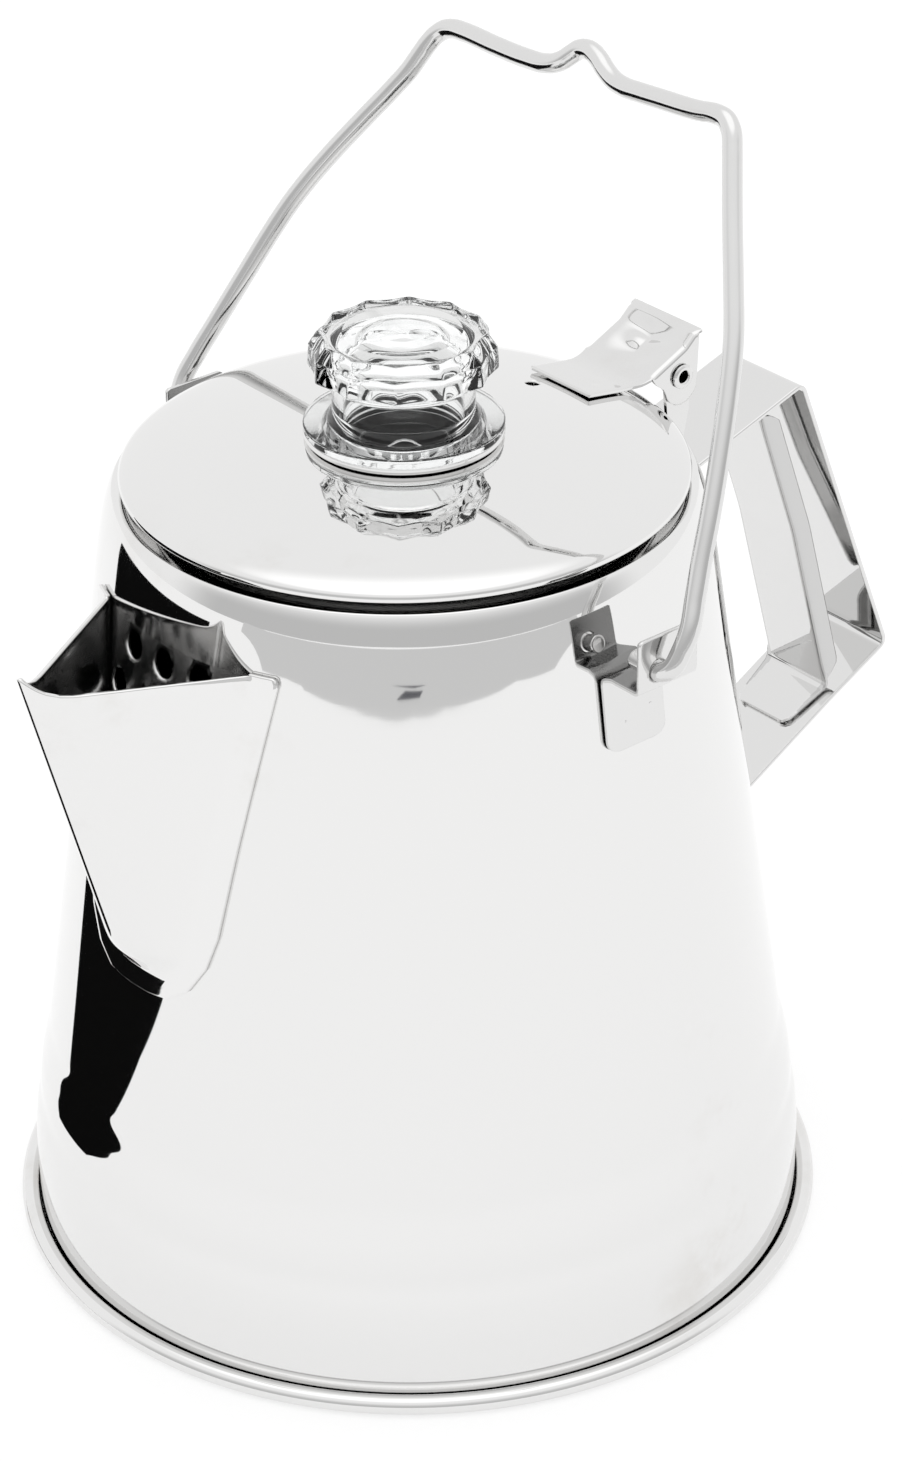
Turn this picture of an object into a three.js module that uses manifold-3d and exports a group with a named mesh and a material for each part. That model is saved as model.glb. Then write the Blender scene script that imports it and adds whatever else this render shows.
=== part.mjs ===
// Camping coffee percolator, a pot with a hinged lid, a bail and a pump with its basket inside.
// Frame: millimetres, +Z up, origin at the centre of the base's underside.
// +X points to the handle, -X to the spout, -Y and +Y to the two ears of the bail.

import * as THREE from 'three';
import Module from 'manifold-3d';
import { ConvexGeometry } from 'three/addons/geometries/ConvexGeometry.js';
import { mergeVertices } from 'three/addons/utils/BufferGeometryUtils.js';

const wasm = await Module();
wasm.setup();

// ---------------------------------------------------------------- driving dimensions

// Sheet, clearances and smoothness
const SHEET = 1.0;              // stainless sheet of the pot, lid and fittings
const GAP = 0.3;                // clearance between pieces that are welded or rest on each other
const RUN = 0.5;                // clearance between pieces that move past each other
const ROUND = 48;               // facets around the pot and lid
const ROUND_SMALL = 28;         // facets around the knob, basket and pump

// Pot
const BASE_RADIUS = 100;        // outside of the rolled base seam
const SEAM_RADIUS = 2.35;       // section radius of the seam's bead
const SEAM_TURN = 240;          // degrees that the sheet is rolled around it
const SEAM_STEPS = 6;           // facets of that roll
const SEAM_STAND = 2.54;        // how far the seam stands out from the cone of the wall
const LOW_BAND_STAND = 4.7;     // the low band's wall lies this far inside the seam's outside
const BAND_STEP = 2.1;          // radius lost at the step between the two foot bands
const LOW_BAND_TOP = 29;        // height where the low band ends
const HIGH_BAND_TOP = 40.5;     // height where the high band ends
const BAND_RAMP = 2.6;          // height of each band's sloping step
const LEDGE_HEIGHT = 196.2;     // flat ledge around the mouth
const LEDGE_RADIUS = 68;        // outside corner of that ledge
const SHOULDER_STEP = 3.6;      // the wall where the shoulder starts stands this far outside that corner
const SHOULDER_DEPTH = 11.5;    // from the ledge down to that place
const LEDGE_WIDTH = 7.5;        // from that corner in to the mouth
const NECK_DEPTH = 9;           // length of the turned-down mouth

// Spout
const SPOUT_YAW = 2.1;          // degrees that the spout sits round from straight opposite the handle
const SPOUT_DROP = 16.2;        // from the ledge down to the spout's rim
const SPOUT_RIM_REACH = 39.53;  // how far the nose stands off the wall at the rim
const SPOUT_RIM_HALF = 26.3;    // half the spout's width on the wall, at the rim
const SPOUT_LENGTH = 74;        // from the rim down to the heel, where the nose turns in
const SPOUT_HEEL_REACH = 8.68;  // how far the nose stands off the wall there
const SPOUT_HEEL_HALF = 14.4;   // half width there
const SPOUT_FOOT_DROP = 7.5;    // from the heel down to where the spout closes on the wall
const SPOUT_FOOT_REACH = 0.73;  // how far the nose stands off the wall there
const SPOUT_FOOT_HALF = 9;      // half width there
const LIP_RISE = 5.6;           // how far the pouring lip stands above the rim
const LIP_START = 12;           // from the nose back to where the lip starts to rise
const PANEL_ROOT = 9;           // how far the two panels are drawn on behind the wall's face
const FLANGE_EDGE = [           // welded flange: half width, and depth below the rim, along its edge
  [30.2, -0.6], [32, 1], [30.5, 12], [26, 42.5], [22.9, 65.9],
  [20.4, 74.4], [15.9, 81.6], [10.2, 85.4], [3.5, 86.1],
];
const NOSE_RADIUS = 2;          // outside radius of the folded nose
const STRAINER_RADIUS = 3.5;    // holes in the wall behind the spout
const STRAINER_PITCH = 11.7;    // distance between those holes
const STRAINER_DROP = 5.8;      // from the rim down to the first row

// Lid
const LID_EDGE_RISE = 5.873;    // from the ledge up to where the dome meets the rolled edge
const LID_DOME = 317;           // radius of curvature of the dome
const LID_INSET = 1.7;          // the lid's outside lies this far inside the ledge's corner
const LID_EDGE_DROP = 4;        // from the end of the dome down to the lid's lower edge
const LID_EDGE_RADIUS = 5;      // radial width of the rolled edge
const SKIRT_CLEARANCE = 1.0;    // radial clearance of the skirt in the mouth
const SKIRT_DEPTH = 6;          // how far the skirt reaches below the ledge
const VENT_RADIUS = 1.6;        // steam vent in the lid
const VENT_SETBACK = 5.3;       // the vent's middle, from the hinge leaf's free edge towards the axis
const VENT_Y = 4.1;

// Knob
const KNOB_NECK = 16.5;         // outside radius of the clear neck
const KNOB_WALL = 2.6;          // thickness of the clear wall
const FLANGE_STAND = 6.8;       // the flange stands this far outside the neck
const KNOB_FLANGE_THICK = 2.6;  // thickness of the flange
const CAP_STAND = 5.5;          // the cap's lower edge outside the neck
const CREST_STAND = 2.7;        // the cap's top points outside the neck
const FACE_INSET = 2.7;         // the edge of the smooth top face inside the neck
const KNOB_HEIGHT = 25.9;       // from the lid's seat to the top face
const KNOB_CAP_DEPTH = 6.6;     // depth of the cap's fluted band
const KNOB_FLUTES = 12;         // pointed lobes around the cap
const KNOB_PHASE = 15.9;        // degrees from +X to the first lobe
const KNOB_FLUTE_DEPTH = 1.3;   // depth of the hollow between two lobes
const SEAT_RING_HEIGHT = 1.6;   // metal ring under the flange
const CAP_UNDERCUT = 2.4;       // height of the sloping underside below that band
const THREAD_DEPTH = 8;         // how far the knob's neck reaches below the lid

// Lid hinge
const HINGE_REACH = 7.7;        // hinge axis, along Y, outside the ledge's corner
const HINGE_RISE = 6.15;        // hinge axis above the ledge
const LEAF_HALF_WIDTH = 10.7;   // leaf that lies on the lid
const LEAF_REACH = 27.8;        // from the hinge axis to the leaf's free edge
const TAB_HALF_WIDTH = 12;      // cheeks and thumb tab
const TAB_REACH = 6.1;          // top edge of the thumb tab, beyond the hinge axis
const TAB_RISE = 10;            // and above it
const CHEEK_RADIUS = 5;         // round lower end of each cheek
const CHEEK_DROP = 2.7;         // its centre, below the hinge axis
const PIN_RADIUS = 2.2;         // hollow hinge rivet
const PIN_WALL = 0.7;
const PIN_HEAD_STAND = 0.8;     // its rolled heads stand this far outside its shank
const BRACKET_RIM = 1.8;        // round head of each fixed hinge ear, outside the rivet

// Handle
const STRAP_WIDTH = 26.8;       // outer strap
const GRIP_WIDTH = 20.6;        // inner strap
const GRIP_LIP = 4;             // depth of the turned edges on the grip
const GRIP_TOE = 11.5;          // length of the grip's foot along the lower arm
const ARM_DROP = 21.2;          // from the ledge down to where the upper arm leaves the wall
const ARM_FOOT = 72.6;          // height where the lower arm leaves the wall
const STRAP_FLANGE = 12;        // length of the strap's ends on the wall
const SPINE_TOP_REACH = 47.2;   // upper corner, outside the ledge's corner
const SPINE_TOP_DROP = 8;       // and below it
const SPINE_FOOT_REACH = 65.4;  // lower corner, outside the wall
const SPINE_FOOT_RISE = 32;     // and above the place where the lower arm leaves the wall
const ARM_BREAK_REACH = 44.4;   // bend of the lower arm, outside the wall
const ARM_BREAK_RISE = 22.05;   // and above that same place
const GRIP_STANDOFF_TOP = 11.7; // from the spine to the grip at the top corner
const GRIP_STANDOFF_FOOT = 17.5; // the same at the lower corner

// Bail and its ears
const BAIL_WIRE = 2.35;         // radius of the wire
const BAIL_LEAN = 28;           // degrees that the bail leans back at rest
const PIVOT_X = 0.5;            // axis of the bail, along Y
const PIVOT_DROP = 15.55;       // from the ledge down to the bail's axis
const EAR_HALF_WIDTH = 8.5;
const EAR_CENTRE_X = 3.5;
const EAR_TAB_REACH = 14.4;     // the upright tab's middle, outside the wall at the shoulder
const EAR_TAB_RISE = 13.2;      // from the ear's shelf up to the tab's top
const EAR_DROP = 20.2;          // from the ledge down to the ear's shelf
const EAR_FOOT_DEPTH = 19.2;    // from the shelf down to the ear's lower edge
const EAR_CORNER = 3;           // rounding of the ear's lower corners
const BAIL_END_INSET = 7;       // the wire's ends stop this far inside the tabs
const BAIL_LEG = 89.35;         // half the distance between the wire's two legs, for the bends below
const BAIL_BEND = [             // the hand-bent wire in its own plane: Y and height above its axis
  [-90.7, 6.2], [-90.7, 10.7], [-88.9, 17.8], [-87.1, 24.4], [-84.5, 35], [-80.9, 47.8], [-76.9, 60.5],
  [-72.2, 73], [-65.9, 84.9], [-59.3, 96.9], [-54, 106.9], [-51.9, 110.9], [-49.7, 114.5], [-46.9, 116.5],
  [-43.5, 116.8], [-38.7, 116.1], [-26, 115.2], [-19.5, 114.8], [-14.6, 114.6], [-10.7, 115.1], [-7.3, 116.4],
  [-3.4, 118.4], [-0.1, 119.3], [2.9, 118.7], [4.8, 117], [6.8, 115], [8.9, 113.7], [12.1, 112.7],
  [18, 112.2], [29.2, 112.1], [40.2, 112.3], [43.8, 112.1], [46.9, 111.1], [49.1, 109.1], [50.6, 106.5],
  [51.9, 103.2], [53.4, 99.3], [56.8, 93.3], [62.4, 84.4], [69.3, 73], [73.4, 65.4], [76.9, 57.6],
  [79.3, 50.7], [83.1, 37.8], [87.3, 23.3], [89.7, 15], [91.2, 7],
];

// Pump, basket and spreader
const TUBE_RADIUS = 4.8;        // outside of the pump tube
const TUBE_WALL = 0.9;
const TUBE_RISE = 2.8;          // how far the tube reaches above the ledge
const BELL_RADIUS = 34;         // foot of the pump
const BELL_HEIGHT = 16;
const COLLAR_LENGTH = 7;        // the bell's collar on the tube
const NOTCH_RADIUS = 1.8;       // notches in the bell's rim
const TUBE_LIFT = 5;            // from the floor up to the tube's open foot
const STOP_HEIGHT = 4;          // collar on the tube under the basket
const STOP_STAND = 3;           // its outside, from the tube
const BASKET_CLEARANCE = 12.5;  // from the basket out to the mouth
const BASKET_DROP = 84.2;       // from the ledge down to the basket's floor
const BASKET_DEPTH = 58;
const BASKET_SHEET = 0.8;       // thinner sheet of the basket and spreader
const SPREADER_RIM = 6;         // how far the spreader's rim hangs over the basket
const BASKET_TAPER = 3;         // radius lost at the basket's floor
const BASKET_HOLE = 1.6;        // radius of its holes
const SLEEVE_HEIGHT = 50;       // the basket's sleeve over the tube
const SPREADER_HOLE = 1.5;      // radius of the spreader's holes

// ---------------------------------------------------------------- derived dimensions

const degrees = (angle) => angle * Math.PI / 180;
const seamCentre = BASE_RADIUS - SEAM_RADIUS;
const wallFootRadius = BASE_RADIUS - SEAM_STAND;
const neckRadius = LEDGE_RADIUS - LEDGE_WIDTH;
const shoulderRadius = LEDGE_RADIUS + SHOULDER_STEP;
const shoulderHeight = LEDGE_HEIGHT - SHOULDER_DEPTH;
const wallSlope = (wallFootRadius - shoulderRadius) / shoulderHeight;
const wallRadius = (height) => wallFootRadius - wallSlope * height;
const onWall = (height) => wallRadius(height) + GAP + SHEET / 2;
const lidRadius = LEDGE_RADIUS - LID_INSET;
const lidEdgeStart = lidRadius - LID_EDGE_RADIUS;
const lidCrown = LEDGE_HEIGHT + LID_EDGE_RISE + lidEdgeStart ** 2 / (2 * LID_DOME);
const knobFlange = KNOB_NECK + FLANGE_STAND;
const domeHeight = (radius) => lidCrown - radius * radius / (2 * LID_DOME);
const seatHeight = domeHeight(knobFlange) + GAP;
const lidLowerEdge = domeHeight(lidEdgeStart) - LID_EDGE_DROP;
const lidHole = KNOB_NECK + RUN;

// Levels and distances that follow the ledge, the wall and the neck of the knob
const spoutRim = LEDGE_HEIGHT - SPOUT_DROP;
const spoutHeel = spoutRim - SPOUT_LENGTH;
const spoutFoot = spoutHeel - SPOUT_FOOT_DROP;
const rimNose = wallRadius(spoutRim) + SPOUT_RIM_REACH;
const heelNose = wallRadius(spoutHeel) + SPOUT_HEEL_REACH;
const footNose = wallRadius(spoutFoot) + SPOUT_FOOT_REACH;
const knobSkirt = KNOB_NECK + CAP_STAND;
const knobCrest = KNOB_NECK + CREST_STAND;
const knobFace = KNOB_NECK - FACE_INSET;
const hingeX = LEDGE_RADIUS + HINGE_REACH;
const hingeHeight = LEDGE_HEIGHT + HINGE_RISE;
const leafStart = hingeX - LEAF_REACH;
const ventX = leafStart - VENT_SETBACK;
const tabEndX = hingeX + TAB_REACH;
const tabEndHeight = hingeHeight + TAB_RISE;
const pinBore = PIN_RADIUS - PIN_WALL;
const pinHead = PIN_RADIUS + PIN_HEAD_STAND;
const bracketHead = PIN_RADIUS + BRACKET_RIM;
const armRoot = LEDGE_HEIGHT - ARM_DROP;
const spineTop = [LEDGE_RADIUS + SPINE_TOP_REACH, LEDGE_HEIGHT - SPINE_TOP_DROP];
const spineFoot = besideWall(SPINE_FOOT_REACH, ARM_FOOT + SPINE_FOOT_RISE);
const armBreak = besideWall(ARM_BREAK_REACH, ARM_FOOT + ARM_BREAK_RISE);
const pivotHeight = LEDGE_HEIGHT - PIVOT_DROP;
const earTabY = shoulderRadius + EAR_TAB_REACH;
const earShelf = LEDGE_HEIGHT - EAR_DROP;
const earTabTop = earShelf + EAR_TAB_RISE;
const earFoot = earShelf - EAR_FOOT_DEPTH;
const bailEndY = earTabY - BAIL_END_INSET;
const tubeTop = LEDGE_HEIGHT + TUBE_RISE;
const basketRadius = neckRadius - BASKET_CLEARANCE;
const basketFloor = LEDGE_HEIGHT - BASKET_DROP;

// X and Z of a place at a height, a distance outside the wall.
function besideWall(distance, height) {
  return [wallRadius(height) + distance, height];
}

// ---------------------------------------------------------------- shape helpers

// A manifold solid from a closed three.js geometry, with its shared vertices merged.
function solid(geometry) {
  const bare = geometry.clone();
  bare.deleteAttribute('normal');
  bare.deleteAttribute('uv');
  const merged = mergeVertices(bare, 1e-4);
  return new wasm.Manifold(new wasm.Mesh({
    numProp: 3,
    vertProperties: Float32Array.from(merged.attributes.position.array),
    triVerts: Uint32Array.from(merged.index.array),
  }));
}

// A three.js geometry from a manifold solid.
function geometryOf(shape) {
  const mesh = shape.getMesh();
  const geometry = new THREE.BufferGeometry();
  geometry.setAttribute('position', new THREE.BufferAttribute(mesh.vertProperties, 3));
  geometry.setIndex(new THREE.BufferAttribute(mesh.triVerts, 1));
  return geometry;
}

// Turns a closed geometry inside out if its faces point inwards.
function facingOut(geometry) {
  const bare = geometry.clone();
  bare.deleteAttribute('normal');
  bare.deleteAttribute('uv');
  const merged = mergeVertices(bare, 1e-4);
  const points = merged.attributes.position;
  const index = merged.index.array;
  const corner = [new THREE.Vector3(), new THREE.Vector3(), new THREE.Vector3()];
  let volume = 0;
  for (let i = 0; i < index.length; i += 3) {
    corner.forEach((point, k) => point.fromBufferAttribute(points, index[i + k]));
    volume += corner[0].dot(corner[1].clone().cross(corner[2]));
  }
  if (volume < 0) {
    for (let i = 0; i < index.length; i += 3) {
      [index[i], index[i + 1]] = [index[i + 1], index[i]];
    }
  }
  return merged;
}

// A solid of revolution about Z from a closed profile of [radius, height] points.
function turned(profile, facets = ROUND) {
  const loop = [...profile, profile[0]].map(([radius, height]) => new THREE.Vector2(radius, height));
  return facingOut(new THREE.LatheGeometry(loop, facets).rotateX(Math.PI / 2));
}

// The same for a profile that starts and ends on the axis.
function turnedSolid(profile, facets = ROUND_SMALL) {
  const line = profile.map(([radius, height]) => new THREE.Vector2(radius, height));
  return facingOut(new THREE.LatheGeometry(line, facets).rotateX(Math.PI / 2));
}

// A line moved sideways to its left by a distance, with mitred corners.
function offsetLine(points, distance) {
  return points.map((point, i) => {
    const before = points[Math.max(i - 1, 0)];
    const after = points[Math.min(i + 1, points.length - 1)];
    const first = i === 0 ? null : leftOf(before, point);
    const second = i === points.length - 1 ? null : leftOf(point, after);
    const a = first ?? second;
    const b = second ?? first;
    const scale = distance / (1 + a[0] * b[0] + a[1] * b[1]);
    return [point[0] + (a[0] + b[0]) * scale, point[1] + (a[1] + b[1]) * scale];
  });
}

// The unit normal on the left of the step from one point to the next.
function leftOf(from, to) {
  const length = Math.hypot(to[0] - from[0], to[1] - from[1]);
  return [-(to[1] - from[1]) / length, (to[0] - from[0]) / length];
}

// A closed sheet section whose one face is the line and whose other face lies at its left.
function sheetSection(line, thickness = SHEET) {
  return [...line, ...offsetLine(line, thickness).reverse()];
}

// A line with each inner corner replaced by an arc of the given radius.
function filleted(points, radius, steps = 4) {
  const line = [points[0]];
  for (let i = 1; i < points.length - 1; i += 1) {
    const corner = new THREE.Vector2(...points[i]);
    const back = new THREE.Vector2(...points[i - 1]).sub(corner);
    const ahead = new THREE.Vector2(...points[i + 1]).sub(corner);
    const half = Math.acos(THREE.MathUtils.clamp(back.dot(ahead) / back.length() / ahead.length(), -1, 1)) / 2;
    const reach = Math.min(radius / Math.tan(half), 0.45 * back.length(), 0.45 * ahead.length());
    const start = corner.clone().addScaledVector(back.normalize(), reach);
    const end = corner.clone().addScaledVector(ahead.normalize(), reach);
    const bend = new THREE.QuadraticBezierCurve(start, corner, end);
    bend.getPoints(steps).forEach((point) => line.push([point.x, point.y]));
  }
  line.push(points[points.length - 1]);
  return line;
}

const outline = (points) => new THREE.Shape(points.map(([a, b]) => new THREE.Vector2(a, b)));

// A plate in the XZ plane, from one Y to another.
function plateXZ(points, fromY, toY) {
  const plate = new THREE.ExtrudeGeometry(outline(points), { depth: toY - fromY, bevelEnabled: false });
  return facingOut(plate.rotateX(Math.PI / 2).translate(0, toY, 0));
}

// A plate in the YZ plane, from one X to another.
function plateYZ(points, fromX, toX) {
  const plate = new THREE.ExtrudeGeometry(outline(points), { depth: toX - fromX, bevelEnabled: false });
  return facingOut(plate.rotateX(Math.PI / 2).rotateZ(Math.PI / 2).translate(fromX, 0, 0));
}

// A bent sheet strip of constant width across Y, drawn by its middle line in XZ.
function strip(line, width, thickness = SHEET) {
  const face = offsetLine(line, -thickness / 2);
  return plateXZ(sheetSection(face, thickness), -width / 2, width / 2);
}

// A round bar along Y, X or Z.
function barY(radius, fromY, toY, x, z, facets = 24) {
  return new THREE.CylinderGeometry(radius, radius, toY - fromY, facets).translate(x, (fromY + toY) / 2, z);
}

function barZ(radius, fromZ, toZ, x, y, facets = 12) {
  const bar = new THREE.CylinderGeometry(radius, radius, toZ - fromZ, facets).rotateX(Math.PI / 2);
  return bar.translate(x, y, (fromZ + toZ) / 2);
}

// A round outline in a plane.
function ringPoints(radius, x, z, facets = 20) {
  const points = [];
  for (let i = 0; i < facets; i += 1) {
    const turn = 2 * Math.PI * i / facets;
    points.push([x + radius * Math.cos(turn), z + radius * Math.sin(turn)]);
  }
  return points;
}

// A wire of round section along a smooth curve through the points.
function wire(points, radius, steps, facets = 10) {
  const path = new THREE.CatmullRomCurve3(points, false, 'centripetal');
  const section = outline(ringPoints(radius, 0, 0, facets));
  return facingOut(new THREE.ExtrudeGeometry(section, { steps, extrudePath: path, bevelEnabled: false }));
}

const steel = (colour = 0xd9dadb, roughness = 0.08) => new THREE.MeshStandardMaterial({
  color: colour,
  metalness: 1,
  roughness,
});

const percolator = new THREE.Group();

function add(name, geometry, material = steel(), parent = percolator) {
  const mesh = new THREE.Mesh(geometry, material);
  mesh.name = name;
  parent.add(mesh);
  return mesh;
}

// ---------------------------------------------------------------- pot

// The outer face of the pot's sheet, from the flange in the base seam up to the mouth's lower edge.
const flangeTop = SHEET + GAP + SHEET;
const lowBand = BASE_RADIUS - LOW_BAND_STAND;
const highBand = lowBand - BAND_STEP;
const potFace = [
  [seamCentre + 0.2, flangeTop],
  [lowBand, flangeTop],
  [lowBand, LOW_BAND_TOP - 5],
  [lowBand - 0.5, LOW_BAND_TOP],
  [highBand, LOW_BAND_TOP + BAND_RAMP],
  [highBand - 0.1, HIGH_BAND_TOP],
  [wallRadius(HIGH_BAND_TOP + BAND_RAMP), HIGH_BAND_TOP + BAND_RAMP],
  [wallRadius(shoulderHeight), shoulderHeight],
  ...shoulderArc(),
  [neckRadius + SHEET, LEDGE_HEIGHT],
  [neckRadius, LEDGE_HEIGHT - SHEET],
  [neckRadius, LEDGE_HEIGHT - NECK_DEPTH],
];

// The shoulder bends from the wall's slope to the ledge's outside corner.
function shoulderArc() {
  const start = new THREE.Vector2(shoulderRadius, shoulderHeight);
  const end = new THREE.Vector2(LEDGE_RADIUS, LEDGE_HEIGHT);
  const bend = new THREE.Vector2(LEDGE_RADIUS + 1.7, LEDGE_HEIGHT - 3.2);
  const curve = new THREE.QuadraticBezierCurve(start, bend, end);
  return curve.getPoints(4).slice(1).map((point) => [point.x, point.y]);
}

// Places [azimuth, height] of the strainer holes, in rows that narrow with the spout.
function strainerPlaces() {
  const places = [];
  [3, 4, 3, 2].forEach((count, row) => {
    const height = spoutRim - STRAINER_DROP - row * STRAINER_PITCH;
    for (let i = 0; i < count; i += 1) {
      places.push([(i - (count - 1) / 2) * STRAINER_PITCH, height]);
    }
  });
  return places;
}

function potBody() {
  let pot = solid(turned(sheetSection(potFace, SHEET)));
  strainerPlaces().forEach(([across, height]) => {
    const turn = Math.PI + degrees(SPOUT_YAW) + across / wallRadius(height);
    const drill = barZ(STRAINER_RADIUS, -8, 8, 0, 0, 10).rotateY(Math.PI / 2).rotateZ(turn);
    drill.translate(wallRadius(height) * Math.cos(turn), wallRadius(height) * Math.sin(turn), height);
    pot = pot.subtract(solid(drill));
  });
  return geometryOf(pot);
}

add('body_shell', potBody());

// The base is a flat disc, with a seam around it that is rolled over the pot's flange.
const discRadius = seamCentre - SEAM_RADIUS / 2;
add('base_plate', turnedSolid([[0, 0], [discRadius, 0], [discRadius, SHEET], [0, SHEET]], ROUND));

function baseSeam() {
  const start = discRadius + GAP;
  const face = [[start, 0]];
  const inner = [];
  const curl = SEAM_RADIUS - SHEET;
  for (let i = 0; i <= SEAM_STEPS; i += 1) {
    const turn = degrees(-90 + i * SEAM_TURN / SEAM_STEPS);
    face.push([seamCentre + SEAM_RADIUS * Math.cos(turn), SEAM_RADIUS + SEAM_RADIUS * Math.sin(turn)]);
    inner.unshift([seamCentre + curl * Math.cos(turn), SEAM_RADIUS + curl * Math.sin(turn)]);
  }
  return turned([...face, ...inner, [start, SHEET]]);
}

add('base_seam', baseSeam());

// ---------------------------------------------------------------- spout

// Nose distance and half width of the spout on the line through two of its levels.
function spoutLevel(low, high, height) {
  const part = (height - low[0]) / (high[0] - low[0]);
  return [height, low[1] + (high[1] - low[1]) * part, low[2] + (high[2] - low[2]) * part];
}

// A wedge whose two panels run from the wall to the nose, grown outwards by a distance.
function spoutWedge(grow, top) {
  const foot = [spoutFoot, footNose, SPOUT_FOOT_HALF];
  const heel = [spoutHeel, heelNose, SPOUT_HEEL_HALF];
  const rim = [spoutRim, rimNose, SPOUT_RIM_HALF];
  const points = [];
  [foot, heel, spoutLevel(heel, rim, top)].forEach(([height, nose, half]) => {
    const centre = NOSE_RADIUS - nose;
    const wallX = -Math.sqrt(wallRadius(height) ** 2 - half ** 2);
    const reach = Math.hypot(wallX - centre, half);
    const normal = Math.atan2(half, wallX - centre) + Math.acos(NOSE_RADIUS / reach);
    const radius = NOSE_RADIUS + grow;
    for (let i = 0; i <= 6; i += 1) {
      const turn = normal + 2 * (Math.PI - normal) * i / 6;
      points.push(new THREE.Vector3(centre + radius * Math.cos(turn), radius * Math.sin(turn), height));
    }
    const rootX = wallX + PANEL_ROOT * Math.sin(normal) + grow * Math.cos(normal);
    const rootY = half - PANEL_ROOT * Math.cos(normal) + grow * Math.sin(normal);
    points.push(new THREE.Vector3(rootX, rootY, height), new THREE.Vector3(rootX, -rootY, height));
  });
  return new ConvexGeometry(points);
}

// The cone of the pot's wall, grown outwards by a distance.
function wallCone(grow) {
  const low = spoutFoot - 10;
  const high = shoulderHeight;
  const cone = new THREE.CylinderGeometry(
    wallRadius(high) + grow, wallRadius(low) + grow, high - low, ROUND);
  return cone.rotateX(Math.PI / 2).rotateZ(Math.PI / 2).translate(0, 0, (low + high) / 2);
}

// Outline of the welded flange, seen from the nose: it widens upwards and ends in a round tongue.
const flangeEdge = FLANGE_EDGE.map(([across, depth]) => [across, spoutRim - depth]);
const flangeOutline = [...flangeEdge, ...flangeEdge.map(([across, height]) => [-across, height]).reverse()];
const lipTop = spoutRim + LIP_RISE;

function spout() {
  const inside = solid(spoutWedge(-SHEET, lipTop + 1));
  const sheet = solid(spoutWedge(0, lipTop)).subtract(inside).subtract(solid(wallCone(GAP)));
  const flange = solid(wallCone(GAP + SHEET))
    .subtract(solid(wallCone(GAP)))
    .intersect(solid(plateYZ(flangeOutline, -BASE_RADIUS, -20)))
    .subtract(inside);
  return geometryOf(sheet.add(flange).subtract(rimCut()));
}

// The cut along the rim: level beside the wall, rising to the pouring lip at the nose.
function rimCut() {
  const high = lipTop + 12;
  const above = [
    [-40, spoutRim + 0.6],
    [LIP_START - rimNose, spoutRim],
    [3.5 - rimNose, spoutRim + 1.7],
    [-rimNose - 1.2, lipTop],
    [-rimNose - 9, lipTop],
    [-rimNose - 9, high],
    [-40, high],
  ];
  return solid(plateXZ(above, -60, 60));
}

add('spout', spout()).rotation.z = degrees(SPOUT_YAW);

// ---------------------------------------------------------------- lid

// Outer face of the lid from its centre hole over the dome to the rolled edge.
function lidFace() {
  const line = [];
  for (let i = 0; i <= 5; i += 1) {
    const radius = lidHole + (lidEdgeStart - lidHole) * i / 5;
    line.push([radius, domeHeight(radius)]);
  }
  const edge = domeHeight(lidEdgeStart);
  const roll = new THREE.QuadraticBezierCurve(
    new THREE.Vector2(lidEdgeStart, edge),
    new THREE.Vector2(lidRadius, edge - 0.4),
    new THREE.Vector2(lidRadius, lidLowerEdge + 0.8));
  roll.getPoints(4).slice(1).forEach((point) => line.push([point.x, point.y]));
  line.push([lidRadius - 0.5, lidLowerEdge]);
  return line;
}

function lidShell() {
  const shell = solid(turned(sheetSection(lidFace().reverse(), SHEET)));
  const vent = barZ(VENT_RADIUS, lidCrown - 20, lidCrown + 10, ventX, VENT_Y);
  return geometryOf(shell.subtract(solid(vent)));
}

add('lid_shell', lidShell());

// The skirt is a ring welded under the lid: a sloping land and a wall that drops into the mouth.
function lidSkirt() {
  const outside = neckRadius - SKIRT_CLEARANCE;
  const underside = (radius) => domeHeight(radius) - SHEET - GAP - 0.1;
  return turned(sheetSection([
    [outside - 7, underside(outside - 7)],
    [outside - 1.5, underside(outside - 1.5)],
    [outside, underside(outside) - 1.5],
    [outside, LEDGE_HEIGHT - SKIRT_DEPTH],
  ].reverse(), SHEET));
}

add('lid_skirt', lidSkirt());

// ---------------------------------------------------------------- lid hinge

// Leaf on the lid, ramp and thumb tab, by their middle line in XZ.
const leafLift = GAP + SHEET / 2 + 0.1;
const rampStart = lidRadius - 1;
const leafLine = filleted([
  [leafStart, domeHeight(leafStart) + leafLift],
  [leafStart + 12, domeHeight(leafStart + 12) + leafLift],
  [rampStart, domeHeight(leafStart + 12) + leafLift],
  [tabEndX - 1.6, tabEndHeight - 0.5],
  [tabEndX, tabEndHeight],
], 4, 3);

// Outline of one cheek: it hangs from the ramp and ends round below the hinge axis.
function cheekOutline() {
  const centre = hingeHeight - CHEEK_DROP;
  const points = [
    [rampStart + 1.5, leafLine[4][1]],
    [tabEndX - 2.2, tabEndHeight - 1.2],
  ];
  for (let i = 0; i <= 10; i += 1) {
    const turn = degrees(10 - i * 18.5);
    points.push([hingeX + CHEEK_RADIUS * Math.cos(turn), centre + CHEEK_RADIUS * Math.sin(turn)]);
  }
  return points;
}

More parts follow.
